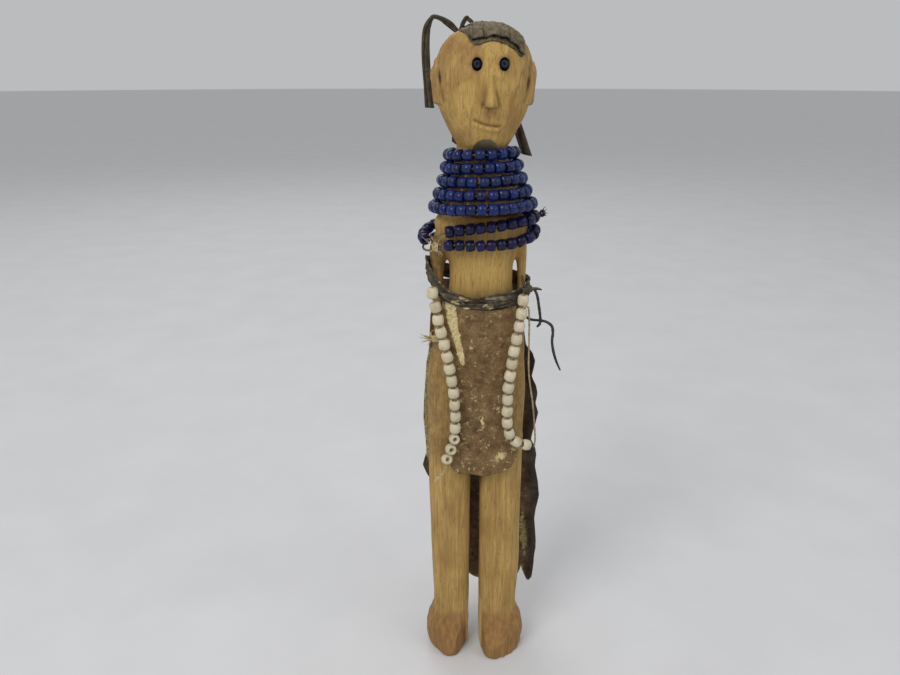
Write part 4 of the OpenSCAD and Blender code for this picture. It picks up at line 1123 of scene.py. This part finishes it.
def apron_brush(s, t):
    raw = 0.62 * bell(s - 0.11 - 0.30 * t, 0.085 - 0.1 * t) * fade(t, 0.36, 0.26)
    raw += 0.35 * bell(s - 0.10, 0.10) * fade(t, 0.6, 0.5) * fade(t, 0.4, 0.5)
    raw += 0.36 * patch_at(s - 0.52, 0.07, t - 0.66, 0.08) + 0.40 * patch_at(s - 0.72, 0.16, t - 0.88, 0.06)
    raw += 0.30 * patch_at(s - 0.86, 0.08, t - 0.55, 0.12) + 0.30 * fade(np.abs(s - 0.5), 0.485, 0.5)
    # the top edge that tucks under the belt is darker
    return {"raw": raw, "specks": 0.45 + 0.55 * fade(t, 0.45, 0.75) + 0.5 * fade(s, 0.5, 0.25),
            "soot_and_shade": 0.5 * fade(t, 0.012, 0.0)}


apron = lay_hide("apron", 48, 110, apron_at, 0.8, apron_hide, apron_brush)
stands_for(apron, "apron", "apron")


def hem_at(left, right, low, high, middle_y):
    """A strip tucked between belt and hips, bent round them away from its middle."""
    bend = -math.copysign(4.3, middle_y)

    def place_at(s, t):
        x, z = left + s * (right - left), high - t * (high - low)
        return np.stack([x, middle_y + bend * (x / 20) ** 2 + 0.12 * np.sin(x * 1.3 + z), z], 1)
    return place_at


# the hem strip tucked under the belt is darker all over
apron_hem = lay_hide("apron_hem", 24, 12, hem_at(-16.4, 14.6, 192.1, 197.7, -13.2), 0.6, apron_hide,
                     lambda s, t: {"soot_and_shade": 0 * s + 0.4})
stands_for(apron_hem, "doll", "apron_hem")

# ---------------------------------------------------------------------------
# Chalky white glass beads hang down the apron's edges on sinew. Over each
# string one more bead is tied to the belt itself and stays there.
WHITE_PITCH = 5.85
LEFT_TOP, LEFT_LOW = 195.5, 114.7
RIGHT_TOP, TURN_Z = 192.7, 138.24
PAST_EDGE = 0.9


def string_point(x, z):
    """A place in front of the apron, where a bead clears it."""
    return Vector((x, apron_y(x, z) - 3.6, z))


def apron_edge(z, sides):
    return float(np.interp((APRON_TOP - z) / APRON_LONG, row_shares, sides))


left_string = []
for share in np.linspace(0, 1, 21):
    z = LEFT_TOP + share * (LEFT_LOW - LEFT_TOP)
    out = PAST_EDGE + 2.2 * (1 - share) ** 6 + 1.6 * share ** 6
    left_string.append(string_point(-apron_edge(z, row_lefts) - out, z))
right_string = []
for share in np.linspace(0, 1, 17):
    z = RIGHT_TOP + share * (TURN_Z - RIGHT_TOP)
    out = PAST_EDGE + 1.2 * (1 - share) ** 6
    right_string.append(string_point(apron_edge(z, row_rights) + out, z))
# the right string's foot turns outwards
turn_x = apron_edge(TURN_Z, row_rights) + PAST_EDGE
right_string += [string_point(turn_x + x, TURN_Z + z)
                 for x, z in ((0.9, -4.2), (2.8, -7.8), (5.8, -10.4), (9.8, -11.8))]

white_glass = Finish("white_glass", 0.42, Specular_IOR_Level=0.45)
tone = white_glass.ramp(white_glass.painted("tone"), (0.0, (0.50, 0.42, 0.26)), (0.4, (0.68, 0.60, 0.41)),
                        (1.0, (0.58, 0.51, 0.36)))
tone = white_glass.mix(white_glass.ramp(white_glass.cloud(2.4, detail=6), (0.50, 0.0), (0.68, 0.7)),
                       tone, (0.42, 0.36, 0.24))
pits = white_glass.ramp(white_glass.cloud(0.7, detail=4), (0.30, 0.6), (0.40, 0.0))
white_glass.colour(white_glass.mix(pits, tone, (0.30, 0.24, 0.15)))
white_glass.sheen(white_glass.ramp(white_glass.cloud(1.8), (0.35, 0.30), (0.7, 0.62)))
white_glass.relief(white_glass.cloud(1.2, detail=4), 0.16)

string_finish = Finish("bead_string", 0.72)
string_finish.colour(string_finish.ramp(string_finish.cloud(1.2, detail=4), (0.32, (0.16, 0.10, 0.045)),
                                        (0.65, (0.46, 0.36, 0.20))))
string_finish.relief(string_finish.cloud(0.35), 0.12)

WHITE_LONG, WHITE_HOLE = 5.0, 1.6
white_bead = shape_bead(BEAD_WIDTH, WHITE_LONG, WHITE_HOLE, 16, 8, 0.92)
# the left string's last beads have swung round and show their holes
OPEN_BEADS = 3
for side, path in (("left", left_string), ("right", right_string)):
    spots = spaced(path, 1, WHITE_PITCH)
    if side == "left":
        spots[-OPEN_BEADS:] = [(spot, (0.25, -1, 0.3 + 0.1 * k))
                               for k, (spot, way) in enumerate(spots[-OPEN_BEADS:])]
    beads = string_beads(f"apron_beads_{side}", white_bead, spots, white_glass, 0.05, 7)
    stands_for(beads, "apron", f"apron_beads_{side}")
    thread = lay_string(f"apron_string_{side}", smooth_path(path, 3), 0.85, string_finish, 0.15)
    stands_for(thread, "apron", f"apron_thread_{side}")

# a slack thread from the right string's top bead down to its last
first, last = right_string[0], right_string[-1]
slack = [first + Vector(step) for step in (
    (0.2, 0, 1.2), (1.2, 0.1, 2.1), (2.9, 0.3, 1.3), (3.5, 0.4, -6), (3.7, 0.4, -16), (4.2, 0, -30),
    (6.5, -0.4, -45))]
slack += [last + Vector((3.6, 0, 5)), last + Vector((3.4, 0, -1))]
side_thread = lay_string("apron_side_string", smooth_path(slack, 8), 0.8, string_finish, 0.15)
stands_for(side_thread, "apron", "apron_side_thread")
TAIL_ROUTES = (((-0.2, 0, -0.55), (-1.1, 0.2, -2.8), (-4.2, 0.4, -5), (-6, 0.6, -9)),
               ((-0.2, 0, -0.55), (-1.6, 0.1, -2.4), (-3.4, 0.3, -5.4), (-5, 0.5, -6.6)))
tail_parts = []
for route in TAIL_ROUTES:
    path = smooth_path([left_string[-1] + Vector(step) for step in route], 5)
    tail_parts.append(lay_string("tail", path, 0.6, sinew, 0.2, 0.3))
stands_for(join("apron_sinew_tail", tail_parts), "apron", "apron_sinew_tail")

belt_spots = [(Vector((-21.7, -14.7, 200.9)), (0, 0, 1)), (Vector((18.3, -13.7, 197.3)), (0, 0, 1))]
belt_beads = string_beads("belt_beads", white_bead, belt_spots, white_glass, 0.03, 8)
stands_for(belt_beads, "doll", "belt_beads")
stubs = [lay_string("stub", [spot + Vector((0, 0, rise)) for rise in (-3.2, -1.6, 0, 1.6, 3.2)], 0.8,
                    string_finish, 0.15) for spot, way in belt_spots]
stands_for(join("belt_bead_strings", stubs), "doll", "belt_bead_threads")

# ---------------------------------------------------------------------------
# The back skirt: one long piece of blackened hide that hangs from the belt
# behind the legs. Its edges are curled and ragged, and it ends in two tips.
SKIRT_TOP, SKIRT_FOOT = 197.8, 29.8
SKIRT_LEFT = ((198, -20), (181, -23.6), (164, -24.4), (156, -25.8), (147, -26.4), (136, -27.2), (126, -27.6),
              (115, -26.8), (106, -26.3), (98, -28.4), (92, -26.2), (88, -23.6), (74, -17.7), (53, -14.2),
              (35, -11.8), (30, -9))
SKIRT_RIGHT = ((198, 19), (181, 21.4), (166, 23.4), (162, 26.7), (157, 28.4), (149, 26.9), (144, 29.3),
               (139, 30.4), (134, 29.4), (129, 31), (120, 29.1), (114, 27.8), (109, 30.2), (103, 31.4),
               (97, 30.8), (88, 32.6), (79, 33.8), (73, 32.7), (65, 31.7), (56, 32.6), (46, 33.2),
               (37, 32.4), (30, 31.6))
SKIRT_FOOT_AT = ((0, 0.8), (0.2, -4.2), (0.36, -6.6), (0.5, -7), (0.62, -6.2), (0.74, -4.4), (0.80, -3),
                 (0.835, 0), (0.85, 4.5), (0.865, 1), (0.93, -5.4), (0.96, -6), (1, -3))
SKIRT_BACK = ((0, 0.2), (0.1, 0.6), (0.2, 1), (0.33, 1.6), (0.48, 2), (0.62, 2.4), (0.74, 3), (0.86, 3.2),
              (1, 3.5))


def skirt_at(s, t):
    z = SKIRT_TOP + t * (SKIRT_FOOT - SKIRT_TOP)
    left, right = (follow(z, side[::-1]) for side in (SKIRT_LEFT, SKIRT_RIGHT))
    x = left + s * (right - left)
    z = z + t ** 14 * follow(s, SKIRT_FOOT_AT)
    y = 15.1 + follow(t, SKIRT_BACK) - 0.4 * (x / 20) ** 2
    flat = np.stack([x, 0 * x, z], 1)
    y += 0.5 * soft_noise(flat, (10, 9, 26), 31) + 0.14 * soft_noise(flat, (3, 9, 4), 6)
    y += 1.3 * soft_noise(flat, (8, 9, 70), 52) * fade(t, 0.05, 0.4)
    curl = fade(s, 0.82, 1.0) * fade(t, 0.08, 0.2)
    y += curl * (3.2 * soft_noise(flat, (30, 9, 12), 44) + 1.2 * soft_noise(flat, (9, 9, 5), 45) - 0.9)
    y += fade(s, 0.14, 0.0) * fade(t, 0.1, 0.25) * (2.0 * soft_noise(flat, (30, 9, 15), 46) - 0.4)
    tucked = fade(t, 0.03, 0)
    y += 0.55 * tucked
    z += 1.4 * tucked
    return np.stack([x, y, z], 1)


def skirt_brush(s, t):
    z = SKIRT_TOP + t * (SKIRT_FOOT - SKIRT_TOP)
    raw = 0.62 * bell(s - 0.045, 0.05) * fade(z, 94, 106) * fade(z, 172, 160)
    raw += 0.42 * patch_at(s - 0.86, 0.06, z - 55, 20) + 0.36 * patch_at(s - 0.80, 0.06, z - 96, 16)
    raw += 0.36 * patch_at(s - 0.45, 0.12, z - 66, 24) + 0.35 * fade(t, 0.975, 1)
    soot_and_shade = 0.75 * fade(s, 0.86, 0.95) + 0.8 * bell(s, 0.02) * (z < 104)
    # a black spot at a hole in the hide: painted shade seen through the hole
    soot_and_shade += 0.9 * patch_at(s - 0.25, 0.02, z - 42.5, 1.2)
    return {"raw": raw, "specks": 0.4 + 0 * s, "soot_and_shade": soot_and_shade}


skirt_hide = hide_finish("skirt_hide", (0.055, 0.030, 0.013), (0.125, 0.071, 0.031), (0.21, 0.13, 0.064),
                         (0.22, 0.165, 0.062), (0.50, 0.42, 0.19), 0.6)
skirt = lay_hide("back_skirt", 72, 190, skirt_at, 0.8, skirt_hide, skirt_brush)
stands_for(skirt, "skirt", "back_skirt")
skirt_hem = lay_hide("skirt_hem", 24, 14, hem_at(-14.1, 12.9, 198.2, 205.8, 13.2), 0.6, skirt_hide,
                     lambda s, t: {"specks": 0.3 + 0 * s})
stands_for(skirt_hem, "doll", "skirt_hem")
